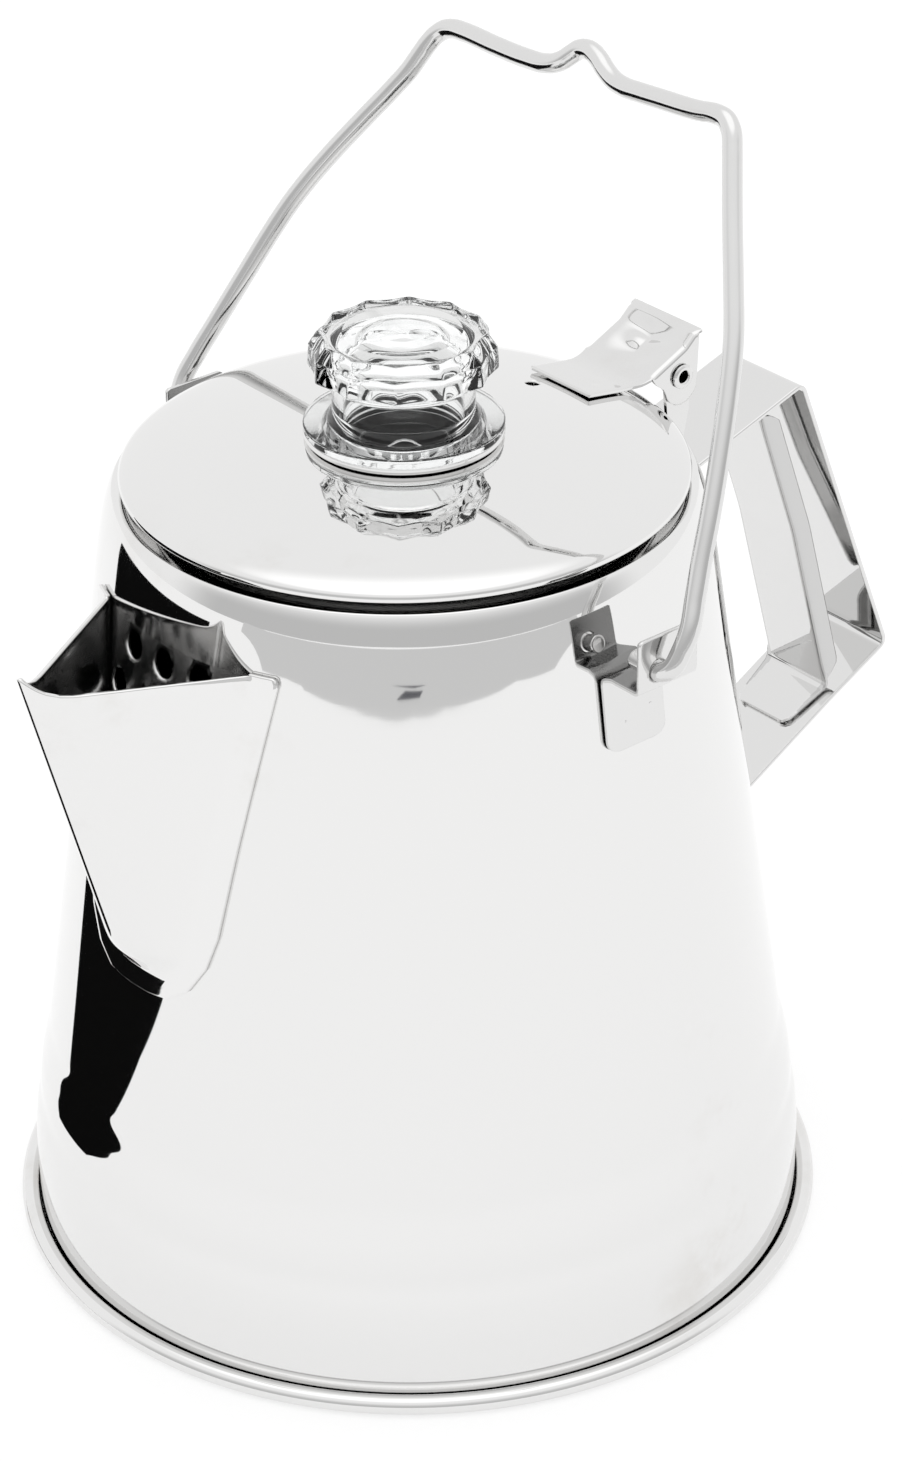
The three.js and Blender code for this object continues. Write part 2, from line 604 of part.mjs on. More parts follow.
function hingeLeaf() {
  let leaf = solid(strip(leafLine, 2 * TAB_HALF_WIDTH));
  const spare = TAB_HALF_WIDTH + 1;
  [-1, 1].forEach((side) => {
    const trim = [
      [leafStart - 2, side * LEAF_HALF_WIDTH],
      [rampStart - 4, side * LEAF_HALF_WIDTH],
      [rampStart, side * spare],
      [leafStart - 2, side * spare],
    ];
    const block = new THREE.ExtrudeGeometry(outline(trim), { depth: 40, bevelEnabled: false });
    leaf = leaf.subtract(solid(facingOut(block.translate(0, 0, lidCrown - 20))));
    const from = side > 0 ? TAB_HALF_WIDTH - SHEET : -TAB_HALF_WIDTH;
    leaf = leaf.add(solid(plateXZ(cheekOutline(), from, from + SHEET)));
  });
  const bore = barY(PIN_RADIUS + GAP, -2 * TAB_HALF_WIDTH, 2 * TAB_HALF_WIDTH, hingeX, hingeHeight);
  return geometryOf(leaf.subtract(solid(bore)));
}

add('lid_hinge_leaf', hingeLeaf());

// Fixed bracket: a back plate on the wall and two ears that stand between the cheeks.
function hingeBracket() {
  const outer = TAB_HALF_WIDTH - SHEET - RUN;
  const back = shoulderRadius + GAP + 0.8;
  const low = armRoot + 6;
  const high = LEDGE_HEIGHT - 4;
  const plate = plateXZ([[back, low], [back + SHEET, low], [back + SHEET, high], [back, high]], -outer, outer);
  let bracket = solid(plate);
  const head = [];
  for (let i = 0; i <= 8; i += 1) {
    const turn = degrees(180 - i * 22.5);
    head.push([hingeX + bracketHead * Math.cos(turn), hingeHeight + bracketHead * Math.sin(turn)]);
  }
  const ear = [[back, low], [back, high], ...head, [hingeX + bracketHead, high], [back + 4.5, low]];
  [-outer, outer - SHEET].forEach((from) => {
    bracket = bracket.add(solid(plateXZ(ear, from, from + SHEET)));
  });
  const bore = barY(PIN_RADIUS + GAP, -TAB_HALF_WIDTH, TAB_HALF_WIDTH, hingeX, hingeHeight);
  return geometryOf(bracket.subtract(solid(bore)));
}

add('hinge_bracket', hingeBracket());

// Hollow rivet through ears and cheeks, with a rolled head at each end.
function hingePin() {
  const end = TAB_HALF_WIDTH + GAP;
  const head = 0.7;
  const pin = turned([
    [pinBore, -end - head],
    [pinHead - 0.4, -end - head],
    [pinHead, -end - 0.3],
    [pinHead, -end],
    [PIN_RADIUS, -end],
    [PIN_RADIUS, end],
    [pinHead, end],
    [pinHead, end + 0.3],
    [pinHead - 0.4, end + head],
    [pinBore, end + head],
  ], 20);
  return pin.rotateX(Math.PI / 2).translate(hingeX, 0, hingeHeight);
}

add('hinge_pin', hingePin());

// ---------------------------------------------------------------- knob

// Metal ring that the knob's flange sits on, and the ring that holds the neck under the lid.
add('knob_seat_ring', turned([
  [lidHole + 1, seatHeight + 0.4],
  [knobFlange - 0.6, seatHeight],
  [knobFlange, seatHeight + 0.6],
  [knobFlange - 0.4, seatHeight + SEAT_RING_HEIGHT],
  [lidHole + 1, seatHeight + SEAT_RING_HEIGHT],
], ROUND_SMALL));

const underLid = domeHeight(lidHole + 4) - SHEET - GAP;
add('knob_retaining_ring', turned([
  [KNOB_NECK + RUN, underLid - 3.4],
  [KNOB_NECK + RUN + 1.2, underLid - 3.4],
  [KNOB_NECK + RUN + 1.2, underLid - 1],
  [KNOB_NECK + RUN + 4, underLid - 1],
  [KNOB_NECK + RUN + 4, underLid],
  [KNOB_NECK + RUN, underLid],
], ROUND_SMALL));

// Radius factor of the fluted cap: pointed lobes with hollows between them.
function flute(turn, depth) {
  const part = KNOB_FLUTES * (turn - degrees(KNOB_PHASE)) / 2;
  return -depth * Math.abs(Math.sin(part));
}

function knob() {
  const flangeUnder = seatHeight + SEAT_RING_HEIGHT + GAP;
  const flangeTopHeight = flangeUnder + KNOB_FLANGE_THICK;
  const top = seatHeight - GAP + KNOB_HEIGHT;
  const capUnder = top - KNOB_CAP_DEPTH - CAP_UNDERCUT;
  const inside = KNOB_NECK - KNOB_WALL;
  const profile = [
    [0, top - KNOB_WALL],
    [inside - 4, top - KNOB_WALL],
    [inside, top - KNOB_WALL - 3],
    [inside, underLid - THREAD_DEPTH],
    [KNOB_NECK, underLid - THREAD_DEPTH],
    [KNOB_NECK, flangeUnder],
    [knobFlange, flangeUnder],
    [knobFlange, flangeUnder + 1.4],
    [KNOB_NECK, flangeTopHeight],
    [KNOB_NECK, capUnder],
    [knobSkirt, capUnder + 0.4],
    [knobSkirt - 0.4, top - 3],
    [knobCrest, top - 0.3],
    [knobFace, top],
    [0, top],
  ];
  const geometry = turnedSolid(profile, KNOB_FLUTES * 4);
  const place = geometry.attributes.position;
  const point = new THREE.Vector3();
  for (let i = 0; i < place.count; i += 1) {
    point.fromBufferAttribute(place, i);
    const radius = Math.hypot(point.x, point.y);
    if (radius > knobCrest - 0.5 && point.z > capUnder) {
      const factor = 1 + flute(Math.atan2(point.y, point.x), KNOB_FLUTE_DEPTH) / radius;
      place.setXY(i, point.x * factor, point.y * factor);
    }
  }
  return geometry;
}

const clearResin = new THREE.MeshStandardMaterial({
  color: 0xf2f4f4,
  metalness: 0,
  roughness: 0.05,
  transparent: true,
  opacity: 0.35,
});
add('knob', knob(), clearResin);

// ---------------------------------------------------------------- handle

// Middle line of the outer strap in XZ, from its flange on the wall around to its lower flange.
const strapLine = filleted([
  [onWall(armRoot - STRAP_FLANGE), armRoot - STRAP_FLANGE],
  [onWall(armRoot), armRoot],
  spineTop,
  spineFoot,
  armBreak,
  [onWall(ARM_FOOT), ARM_FOOT],
  [onWall(ARM_FOOT - STRAP_FLANGE), ARM_FOOT - STRAP_FLANGE],
], 3, 3);
add('handle_strap', strip(strapLine, STRAP_WIDTH));

// Height at x of the line that lies a distance above the line through two points.
function beside(from, to, x, distance) {
  const slope = (to[1] - from[1]) / (to[0] - from[0]);
  return from[1] + slope * (x - from[0]) + distance * Math.hypot(1, slope);
}

// The grip runs inside the spine; its ends lie on the two arms.
function gripLine() {
  const spine = new THREE.Vector2(spineFoot[0] - spineTop[0], spineFoot[1] - spineTop[1]).normalize();
  const inward = [spine.y, -spine.x];
  const upper = [spineTop[0] + inward[0] * GRIP_STANDOFF_TOP, spineTop[1] + inward[1] * GRIP_STANDOFF_TOP];
  const lower = [spineFoot[0] + inward[0] * GRIP_STANDOFF_FOOT, spineFoot[1] + inward[1] * GRIP_STANDOFF_FOOT];
  const lay = SHEET + GAP;
  const rootEnd = [onWall(armRoot), armRoot];
  const footEnd = [onWall(ARM_FOOT), ARM_FOOT];
  const along = (t) => [upper[0] + (lower[0] - upper[0]) * t, upper[1] + (lower[1] - upper[1]) * t];
  const bow = along(0.45);
  const heel = lower[0] - 1.6;
  const toe = armBreak[0] - GRIP_TOE;
  return filleted([
    [upper[0] + 5, beside(rootEnd, spineTop, upper[0] + 5, -lay)],
    [upper[0] - 0.4, beside(rootEnd, spineTop, upper[0] - 0.4, -lay)],
    [bow[0] + 0.6, bow[1]],
    [heel, beside(armBreak, spineFoot, heel, lay)],
    [armBreak[0], beside(armBreak, spineFoot, armBreak[0], lay)],
    [toe, beside(footEnd, armBreak, toe, lay)],
  ], 2.5, 3);
}

function grip() {
  const line = gripLine();
  let shape = solid(strip(line, GRIP_WIDTH));
  const upright = line.slice(4, 10);
  const lip = sheetSection(offsetLine(upright, -SHEET / 2), GRIP_LIP + SHEET);
  [-GRIP_WIDTH / 2, GRIP_WIDTH / 2 - SHEET].forEach((from) => {
    shape = shape.add(solid(plateXZ(lip, from, from + SHEET)));
  });
  return geometryOf(shape);
}

add('handle_grip', grip());

// ---------------------------------------------------------------- bail and ears

// Outline of an ear, unrolled from its middle line in YZ: foot on the wall, shelf, upright tab.
function ear(side) {
  const lay = GAP / 2;
  const line = filleted([
    [onWall(earFoot) + lay, earFoot],
    [onWall(earShelf - 2) + lay, earShelf - 1],
    [onWall(earShelf - 2) + lay + 3, earShelf],
    [earTabY, earShelf],
    [earTabY, earTabTop],
  ], 1.5, 3);
  const mirrored = sheetSection(offsetLine(line, -SHEET / 2)).map(([y, z]) => [side * y, z]);
  const from = EAR_CENTRE_X - EAR_HALF_WIDTH;
  const to = EAR_CENTRE_X + EAR_HALF_WIDTH;
  let shape = solid(plateYZ(mirrored, from, to));
  const mask = filleted([
    [EAR_CENTRE_X, earTabTop],
    [to, earTabTop],
    [to, earFoot],
    [from, earFoot],
    [from, earTabTop],
    [EAR_CENTRE_X, earTabTop],
  ], EAR_CORNER, 4);
  mask.pop();
  shape = shape.intersect(solid(plateXZ(mask, -BASE_RADIUS, BASE_RADIUS)));
  const bore = barY(BAIL_WIRE + RUN, 60, 120, PIVOT_X, pivotHeight, 16);
  return geometryOf(shape.subtract(solid(side > 0 ? bore : bore.rotateZ(Math.PI).translate(2 * PIVOT_X, 0, 0))));
}

add('bail_ear_right', ear(-1));
add('bail_ear_left', ear(1));

// Middle line of the hand-bent wire in its own plane: [Y, height above the pivot].
const legOutside = earTabY + SHEET / 2 + RUN + BAIL_WIRE;
const spread = legOutside / BAIL_LEG;
const bailLine = [
  [-bailEndY, 0], [-legOutside + 6, 0], [-legOutside + 2, 0.1], [-legOutside - 0.5, 1.9],
  ...BAIL_BEND.map(([y, height]) => [y * spread, height]),
  [legOutside + 0.6, 1.9], [legOutside - 2, 0.1],
  [legOutside - 6, 0], [bailEndY, 0],
];

const bail = new THREE.Group();
bail.position.set(PIVOT_X, 0, pivotHeight);
bail.rotation.y = degrees(BAIL_LEAN);
percolator.add(bail);
const bailPath = bailLine.map(([y, height]) => new THREE.Vector3(0, y, height));
add('bail_wire', wire(bailPath, BAIL_WIRE, 90, 8), steel(), bail);

// ---------------------------------------------------------------- pump

const floorTop = SHEET + GAP;

// Pump tube, open at both ends.
const tubeFoot = floorTop + TUBE_LIFT;
add('pump_tube', turned([
  [TUBE_RADIUS - TUBE_WALL, tubeFoot],
  [TUBE_RADIUS, tubeFoot],
  [TUBE_RADIUS, tubeTop],
  [TUBE_RADIUS - TUBE_WALL, tubeTop],
], 16));

// Bell: a flared foot that stands on the base, with notches in its rim for the water.
function bell() {
  const collar = TUBE_RADIUS + GAP;
  const face = [
    [BELL_RADIUS, floorTop],
    [BELL_RADIUS, floorTop + 2.5],
    [BELL_RADIUS * 0.62, floorTop + BELL_HEIGHT * 0.5],
    [collar + SHEET + 2, floorTop + BELL_HEIGHT * 0.8],
    [collar + SHEET, floorTop + BELL_HEIGHT],
    [collar + SHEET, floorTop + BELL_HEIGHT + COLLAR_LENGTH],
  ];
  let shape = solid(turned(sheetSection(face, SHEET), ROUND_SMALL));
  for (let i = 0; i < 4; i += 1) {
    const notch = barZ(NOTCH_RADIUS, -4, 4, 0, 0, 10).rotateY(Math.PI / 2);
    notch.translate(BELL_RADIUS, 0, floorTop).rotateZ(Math.PI * (i + 0.5) / 2);
    shape = shape.subtract(solid(notch));
  }
  return geometryOf(shape);
}

add('pump_bell', bell());

// Collar crimped on the tube, which the basket rests on.
const stopTop = basketFloor - GAP;
add('basket_stop', turned([
  [TUBE_RADIUS + GAP, stopTop - STOP_HEIGHT],
  [TUBE_RADIUS + 1.6, stopTop - STOP_HEIGHT],
  [TUBE_RADIUS + STOP_STAND, stopTop - 2.4],
  [TUBE_RADIUS + STOP_STAND, stopTop],
  [TUBE_RADIUS + GAP, stopTop],
], 20));

// Basket: floor, tapering wall with a turned rim, and a sleeve around the tube.
function holeRings(rings, radius, fromZ, toZ) {
  const tools = [];
  rings.forEach(([count, distance], ring) => {
    for (let i = 0; i < count; i += 1) {
      const turn = 2 * Math.PI * (i + 0.5 * (ring % 2)) / count;
      tools.push(solid(barZ(radius, fromZ, toZ, distance * Math.cos(turn), distance * Math.sin(turn), 6)));
    }
  });
  return tools;
}

const basketTop = basketFloor + BASKET_DEPTH;
const sleeve = TUBE_RADIUS + RUN;

function basket() {
  const floorRadius = basketRadius - BASKET_TAPER;
  const face = [
    [sleeve, basketFloor + SLEEVE_HEIGHT],
    [sleeve, basketFloor],
    [floorRadius, basketFloor],
    [basketRadius - 1.2, basketTop - 3],
    [basketRadius, basketTop - 1.5],
    [basketRadius, basketTop],
  ];
  let shape = solid(turned(sheetSection(face, BASKET_SHEET), ROUND_SMALL));
  const step = (floorRadius - sleeve) / 4;
  const rings = [[6, sleeve + step], [12, sleeve + 2.6 * step]];
  holeRings(rings, BASKET_HOLE, basketFloor - 2, basketFloor + 3).forEach((tool) => {
    shape = shape.subtract(tool);
  });
  return geometryOf(shape);
}

add('basket', basket(), steel(0xcfd0d1, 0.2));

// Spreader: the basket's perforated cover, with a rim that hangs over the basket.
function spreader() {
  const top = basketTop + GAP;
  const face = [
    [sleeve, top + 2.4],
    [sleeve + 6, top + BASKET_SHEET],
    [basketRadius - 6, top + BASKET_SHEET],
    [basketRadius + 0.6, top + BASKET_SHEET],
    [basketRadius + GAP + BASKET_SHEET + GAP, top - 0.2],
    [basketRadius + GAP + BASKET_SHEET + GAP, top - SPREADER_RIM],
  ];
  let shape = solid(turned(sheetSection([...face].reverse(), BASKET_SHEET), ROUND_SMALL));
  const step = (basketRadius - sleeve) / 4;
  const rings = [[8, sleeve + step], [14, sleeve + 2.6 * step]];
  holeRings(rings, SPREADER_HOLE, top - 3, top + 5).forEach((tool) => {
    shape = shape.subtract(tool);
  });
  return geometryOf(shape);
}

add('basket_spreader', spreader(), steel(0xcfd0d1, 0.2));

export default percolator;
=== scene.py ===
import math

import bpy
import numpy as np
from mathutils import Matrix


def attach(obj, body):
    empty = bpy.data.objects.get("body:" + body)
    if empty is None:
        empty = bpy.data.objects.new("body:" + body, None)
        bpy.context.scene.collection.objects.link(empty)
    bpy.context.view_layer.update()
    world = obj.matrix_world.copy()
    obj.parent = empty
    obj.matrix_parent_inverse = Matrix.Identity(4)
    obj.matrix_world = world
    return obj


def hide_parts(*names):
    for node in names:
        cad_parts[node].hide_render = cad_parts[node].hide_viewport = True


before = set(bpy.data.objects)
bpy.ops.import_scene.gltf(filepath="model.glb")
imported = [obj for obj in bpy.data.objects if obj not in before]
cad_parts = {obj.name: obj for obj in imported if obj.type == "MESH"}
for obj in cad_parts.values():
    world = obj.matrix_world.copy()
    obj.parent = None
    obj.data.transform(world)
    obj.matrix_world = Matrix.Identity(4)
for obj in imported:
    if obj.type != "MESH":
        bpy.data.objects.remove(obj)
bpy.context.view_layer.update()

# ------------------------------------------------------------------ sizes, in millimetres

MM = 0.001                    # metres to a millimetre
SHEET = 1.0                   # stainless sheet
GAP = 0.3                     # clearance between joined pieces
AROUND = 1.4                  # degrees between the points around a turned piece
EDGE = 0.35                   # distance of the support row beside an edge or bend

BASE_RADIUS = 100.0
SEAM_RADIUS = 2.35            # section radius of the base's rolled seam
SEAM_CENTRE = BASE_RADIUS - SEAM_RADIUS
SEAM_TURN = 240.0             # degrees that the sheet is rolled
WALL_FOOT = 97.46             # radius that the cone of the wall would have at the floor
SHOULDER_RADIUS = 71.6
LEDGE_HEIGHT = 196.2
LEDGE_RADIUS = 68.0
SHOULDER_HEIGHT = 184.7
WALL_SLOPE = (WALL_FOOT - SHOULDER_RADIUS) / SHOULDER_HEIGHT
NECK_RADIUS = 60.5
STRAINER_ROWS = (3, 4, 3, 2)  # holes behind the spout, from the top row down
STRAINER_TOP = 174.2          # height of the top row
STRAINER_PITCH = 11.7         # distance between holes and between rows
STRAINER_RADIUS = 3.5

SPOUT_YAW = 2.1               # degrees
SPOUT_RIM = 180.0
LIP_RISE = 5.6
NOSE_REACH = 8.0              # length of the nose's bend on each panel
FLANGE_FOOT = 93.95           # lowest point of the welded flange
PANEL_FOOT = 106.0            # height above which the spout's panels and nose are straight
NOSE_FOOT = 98.5              # height at which the nose leaves the wall
FLANGE_PART = 0.3             # share of the half section that lies on the wall
BEND_PART = 0.8               # share of the half section at which the nose's bend starts

LID_CROWN = 208.0
LID_DOME = 317.0              # radius of curvature
LID_RADIUS = 66.3
LID_ROLL = 8.8                # radial width of the rolled edge
LID_LOW = 198.1               # lower edge
LID_HOLE = 17.0
VENT = (42.6, 4.1)
VENT_RADIUS = 1.8

HINGE = (75.7, 202.35)        # X and Z of the lid's hinge
LEAF_BEND = 1.4               # radius of the bend between the leaf and its sides
CHEEK_RADIUS = 5.0            # round lower end of the leaf's sides
BAIL_PIVOT = (0.5, 180.65)    # X and Z of the bail's pivot
BAIL_LEAN = 28.0              # degrees
BAIL_WIRE = 2.35              # radius
EAR_TAB = 86.0                # distance of the ear's upright tab from the pot's axis
EAR_MIDDLE = 3.5              # X of the ear's middle
EAR_HALF = 8.5                # half the ear's width

KNOB_TOP = 233.1
KNOB_LOBES = 12
KNOB_PHASE = 15.9             # degrees
KNOB_RIM = 1.6                # height of the ring that the knob's flange rests on
TUBE_RADIUS = 4.8
BASKET_FLOOR = 112.0
BASKET_TOP = 170.0
BASKET_RADIUS = 48.0
BELL_RADIUS = 34.0


def wall(height):
    """Radius of the pot's outer face: it falls evenly with height."""
    return WALL_FOOT - WALL_SLOPE * height


def dome(radius):
    """Height of the lid's top: the crown less the square of the radius over twice the curvature."""
    return LID_CROWN - radius ** 2 / (2 * LID_DOME)


# ------------------------------------------------------------------ shape helpers

def rounded(points, radii, steps=6):
    """Line with a bend at each inner corner.

    The bend is corner + back r (1 - t)^2 + ahead r t^2, where r is the radius over the tangent of half the
    corner's angle, at most 0.45 of either side. A support point stands beside each end of the bend."""
    points = np.array(points, float)
    line = [points[:1], points[:1] + unit(points[1] - points[0]) * EDGE]
    t = np.linspace(0, 1, steps + 1)[:, None]
    radii = np.broadcast_to(radii, len(points) - 2)
    for corner, before, after, radius in zip(points[1:-1], points, points[2:], radii):
        back, ahead = unit(before - corner), unit(after - corner)
        room = 0.45 * min(np.linalg.norm(before - corner), np.linalg.norm(after - corner))
        half = math.acos(np.clip(back @ ahead, -1, 1)) / 2
        reach = min(radius / math.tan(half), room)
        support = min(reach + EDGE, room * 1.08)
        line += [corner + back * support, corner + back * reach * (1 - t) ** 2 + ahead * reach * t ** 2,
                 corner + ahead * support]
    line += [points[-1:] + unit(points[-2] - points[-1]) * EDGE, points[-1:]]
    return np.vstack(line)


def unit(vector):
    """The vector over its length."""
    return vector / np.linalg.norm(vector, axis=-1, keepdims=True)


def stepped(line, longest):
    """Line with points added so that no step is longer than a length."""
    counts = np.maximum(1, np.ceil(np.linalg.norm(np.diff(line, axis=0), axis=1) / longest)).astype(int)
    place = np.concatenate([i + np.arange(n) / n for i, n in enumerate(counts)] + [[len(counts)]])
    return np.stack([np.interp(place, np.arange(len(line)), line[:, k]) for k in range(line.shape[1])], 1)


def curve(points, count):
    """Smooth line through points: cubic pieces whose slope at each point is that of its two neighbours' chord."""
    points = np.array(points, float)
    length = np.concatenate([[0], np.cumsum(np.linalg.norm(np.diff(points, axis=0), axis=1))])
    slope = np.gradient(points, length, axis=0)
    at = np.linspace(0, length[-1], count)
    i = np.clip(np.searchsorted(length, at, side="right") - 1, 0, len(points) - 2)
    step = (length[i + 1] - length[i])[:, None]
    t = (at - length[i])[:, None] / step
    return ((2 * t ** 3 - 3 * t ** 2 + 1) * points[i] + (t ** 3 - 2 * t ** 2 + t) * step * slope[i]
            + (3 * t ** 2 - 2 * t ** 3) * points[i + 1] + (t ** 3 - t ** 2) * step * slope[i + 1])


def grid(surface, wrap=False):
    """Points and quads of a rows x columns x 3 array. wrap joins the last column to the first."""
    rows, columns = surface.shape[:2]
    r, c = np.meshgrid(np.arange(rows - 1), np.arange(columns if wrap else columns - 1), indexing="ij")
    d = (c + 1) % columns
    quads = np.stack([r * columns + c, r * columns + d, (r + 1) * columns + d, (r + 1) * columns + c], -1)
    return surface.reshape(-1, 3), quads.reshape(-1, 4)


def turned(line, azimuths=None, factor=None):
    """Surface of revolution: (r, z) of the line at azimuth a lies at (r cos a, r sin a, z).

    factor(r, z, a) may change the radius. A line that rises has its outside on the right."""
    if azimuths is None:
        azimuths = np.arange(0, 360, AROUND)
    a = np.radians(azimuths)[None, :]
    r, z = line[:, :1] + 0 * a, line[:, 1:] + 0 * a
    if factor is not None:
        r = r * factor(r, z, a)
    return grid(np.stack([r * np.cos(a), r * np.sin(a), z], -1), wrap=True)


def denser(middle, half, step):
    """Azimuths around a turned piece, with a smaller step within half of the middle."""
    near = np.arange(middle - half, middle + half, step)
    far = np.arange(middle + half, middle - half + 360 - AROUND / 2, AROUND)
    return np.concatenate([near, far])


def pierced(points, quads, centre, axis, radius, reach=6.0):
    """Opens a round hole: faces whose middle lies within the radius of the axis go, and the points on the rim of
    that gap move along their own direction from the axis until they stand at the radius."""
    axis = unit(np.array(axis, float))
    offset = points - np.array(centre, float)
    along = (offset @ axis)[:, None] * axis
    away = offset - along
    middle = away[quads].mean(1)
    gone = (np.linalg.norm(middle, axis=1) < radius) & (np.abs((offset @ axis)[quads]).max(1) < reach)
    rim = np.intersect1d(quads[gone], quads[~gone])
    points = points.copy()
    points[rim] = (np.array(centre, float) + along + unit(away + 1e-9) * radius)[rim]
    return points, quads[~gone]


def dented(points, centre, radius, depth, axis):
    """Presses a small round mark: points move along the axis by depth times exp(-(distance / radius)^2)."""
    distance = np.linalg.norm(points - np.array(centre, float), axis=1)
    return points + np.array(axis, float) * (depth * np.exp(-(distance / radius) ** 2))[:, None]


def piece(name, surface, body, nodes, material, thickness=0.0, offset=-1.0, even=True,
          inside=None, where=None):
    """Mesh object in its place: points that meet are joined, collapsed faces are dropped, and a sheet gets its
    thickness behind its face, or to both sides with offset 0. The inside material goes to the faces that where()
    picks by their middles, or to the sheet's other side."""
    points, quads = surface
    _, first, index = np.unique(np.round(points, 3), axis=0, return_index=True, return_inverse=True)
    rings = [[v for i, v in enumerate(face) if v != face[i - 1]] for face in index.reshape(-1)[quads].tolist()]
    rings = [ring for ring in rings if len(set(ring)) == len(ring) > 2]
    used, place = np.unique(np.concatenate(rings), return_inverse=True)
    splits = np.cumsum([len(ring) for ring in rings])[:-1]
    faces = [part.tolist() for part in np.split(place.reshape(-1), splits)]
    data = bpy.data.meshes.new(name)
    data.from_pydata((points[first][used] * MM).tolist(), [], faces)
    data.polygons.foreach_set("use_smooth", np.ones(len(faces), bool))
    data.update()
    obj = bpy.data.objects.new(name, data)
    bpy.context.scene.collection.objects.link(obj)
    if thickness:
        solid = obj.modifiers.new("sheet", "SOLIDIFY")
        solid.thickness = thickness * MM
        solid.offset = offset
        solid.use_even_offset = even
    data.materials.append(material)
    if inside is not None:
        data.materials.append(inside)
        if where is None:
            solid.material_offset = 1
        else:
            middle = np.empty(3 * len(faces))
            data.polygons.foreach_get("center", middle)
            data.polygons.foreach_set("material_index", where(middle.reshape(-1, 3) / MM).astype(np.int32))
    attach(obj, body)
    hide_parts(*nodes)
    return obj


def strip(line, half_width, across, columns=25):
    """Sheet along a line of (x, y, z): point (s, v) is line(s) + v half_width(s) across, v from 1 to -1.

    Columns stand close together beside both edges."""
    v = np.linspace(1, -1, columns)
    rim = 1 - EDGE / np.max(half_width)
    v = np.sort(np.concatenate([v, [rim, -rim]]))[::-1]
    width = np.broadcast_to(half_width, len(line))
    return line[:, None, :] + (v[None, :] * width[:, None])[..., None] * np.array(across, float)


def corner_width(line, half_width, radius, start=True, end=True):
    """Half widths along a line whose ends have round corners: w - r + sqrt(r^2 - (r - d)^2) at d from the end."""
    length = np.concatenate([[0], np.cumsum(np.linalg.norm(np.diff(line, axis=0), axis=1))])
    width = np.full(len(line), float(half_width)) if np.isscalar(half_width) else np.array(half_width, float)
    for use, d in ((start, length), (end, length[-1] - length)):
        if use:
            near = np.clip(radius - d, 0, radius)
            width = width - radius + np.sqrt(np.maximum(radius ** 2 - near ** 2, 0))
    return width


# ------------------------------------------------------------------ materials

def node_group(name, inputs, outputs):
    """Empty shader group with named sockets: {name: (type, value)} in, {name: type} out."""
    tree = bpy.data.node_groups.new(name, "ShaderNodeTree")
    for label, (kind, value) in inputs.items():
        socket = tree.interface.new_socket(label, in_out="INPUT", socket_type=kind)
        if value is not None:
            socket.default_value = value
    for label, kind in outputs.items():
        tree.interface.new_socket(label, in_out="OUTPUT", socket_type=kind)
    return tree, tree.nodes.new("NodeGroupInput"), tree.nodes.new("NodeGroupOutput")


def math_node(tree, operation, *values):
    """Math node whose inputs are numbers or sockets."""
    node = tree.nodes.new("ShaderNodeMath")
    node.operation = operation
    for socket, value in zip(node.inputs, values):
        if isinstance(value, bpy.types.NodeSocket):
            tree.links.new(value, socket)
        else:
            socket.default_value = value
    return node.outputs[0]


def noise(tree, vector, scale, detail=2.0, roughness=0.5):
    """Value of a noise texture, from 0 to 1."""
    node = tree.nodes.new("ShaderNodeTexNoise")
    tree.links.new(vector, node.inputs["Vector"])
    if isinstance(scale, bpy.types.NodeSocket):
        tree.links.new(scale, node.inputs["Scale"])
    else:
        node.inputs["Scale"].default_value = scale
    node.inputs["Detail"].default_value = detail
    node.inputs["Roughness"].default_value = roughness
    return node.outputs["Fac"]


def band(tree, value, low, high):
    """0 below low, 1 above high, smooth between."""
    node = tree.nodes.new("ShaderNodeMapRange")
    node.interpolation_type = "SMOOTHSTEP"
    tree.links.new(value, node.inputs["Value"])
    node.inputs["From Min"].default_value = low
    node.inputs["From Max"].default_value = high
    return node.outputs["Result"]


def blend(tree, kind, factor, low, high):
    """Mix of two vectors (VECTOR) or colours (RGBA): low where the factor is 0, high where it is 1."""
    node = tree.nodes.new("ShaderNodeMix")
    node.data_type = kind
    tree.links.new(factor, node.inputs[0])
    for value, socket in zip((low, high), [i for i in node.inputs if i.type == kind][-2:]):
        tree.links.new(value, socket)
    return next(o for o in node.outputs if o.type == kind)


def lathe_lines(tree, vector, along, across):
    """Coordinates for marks that run around the pot: azimuth times along, height and radius times across."""
    apart = tree.nodes.new("ShaderNodeSeparateXYZ")
    tree.links.new(vector, apart.inputs[0])
    x, y, z = apart.outputs
    squares = [math_node(tree, "MULTIPLY", side, side) for side in (x, y)]
    radius = math_node(tree, "SQRT", math_node(tree, "ADD", *squares))
    turn = math_node(tree, "ARCTAN2", y, x)
    together = tree.nodes.new("ShaderNodeCombineXYZ")
    for value, stretch, socket in zip((turn, z, radius), (along, across, across), together.inputs):
        tree.links.new(math_node(tree, "MULTIPLY", value, stretch), socket)
    return together.outputs[0]


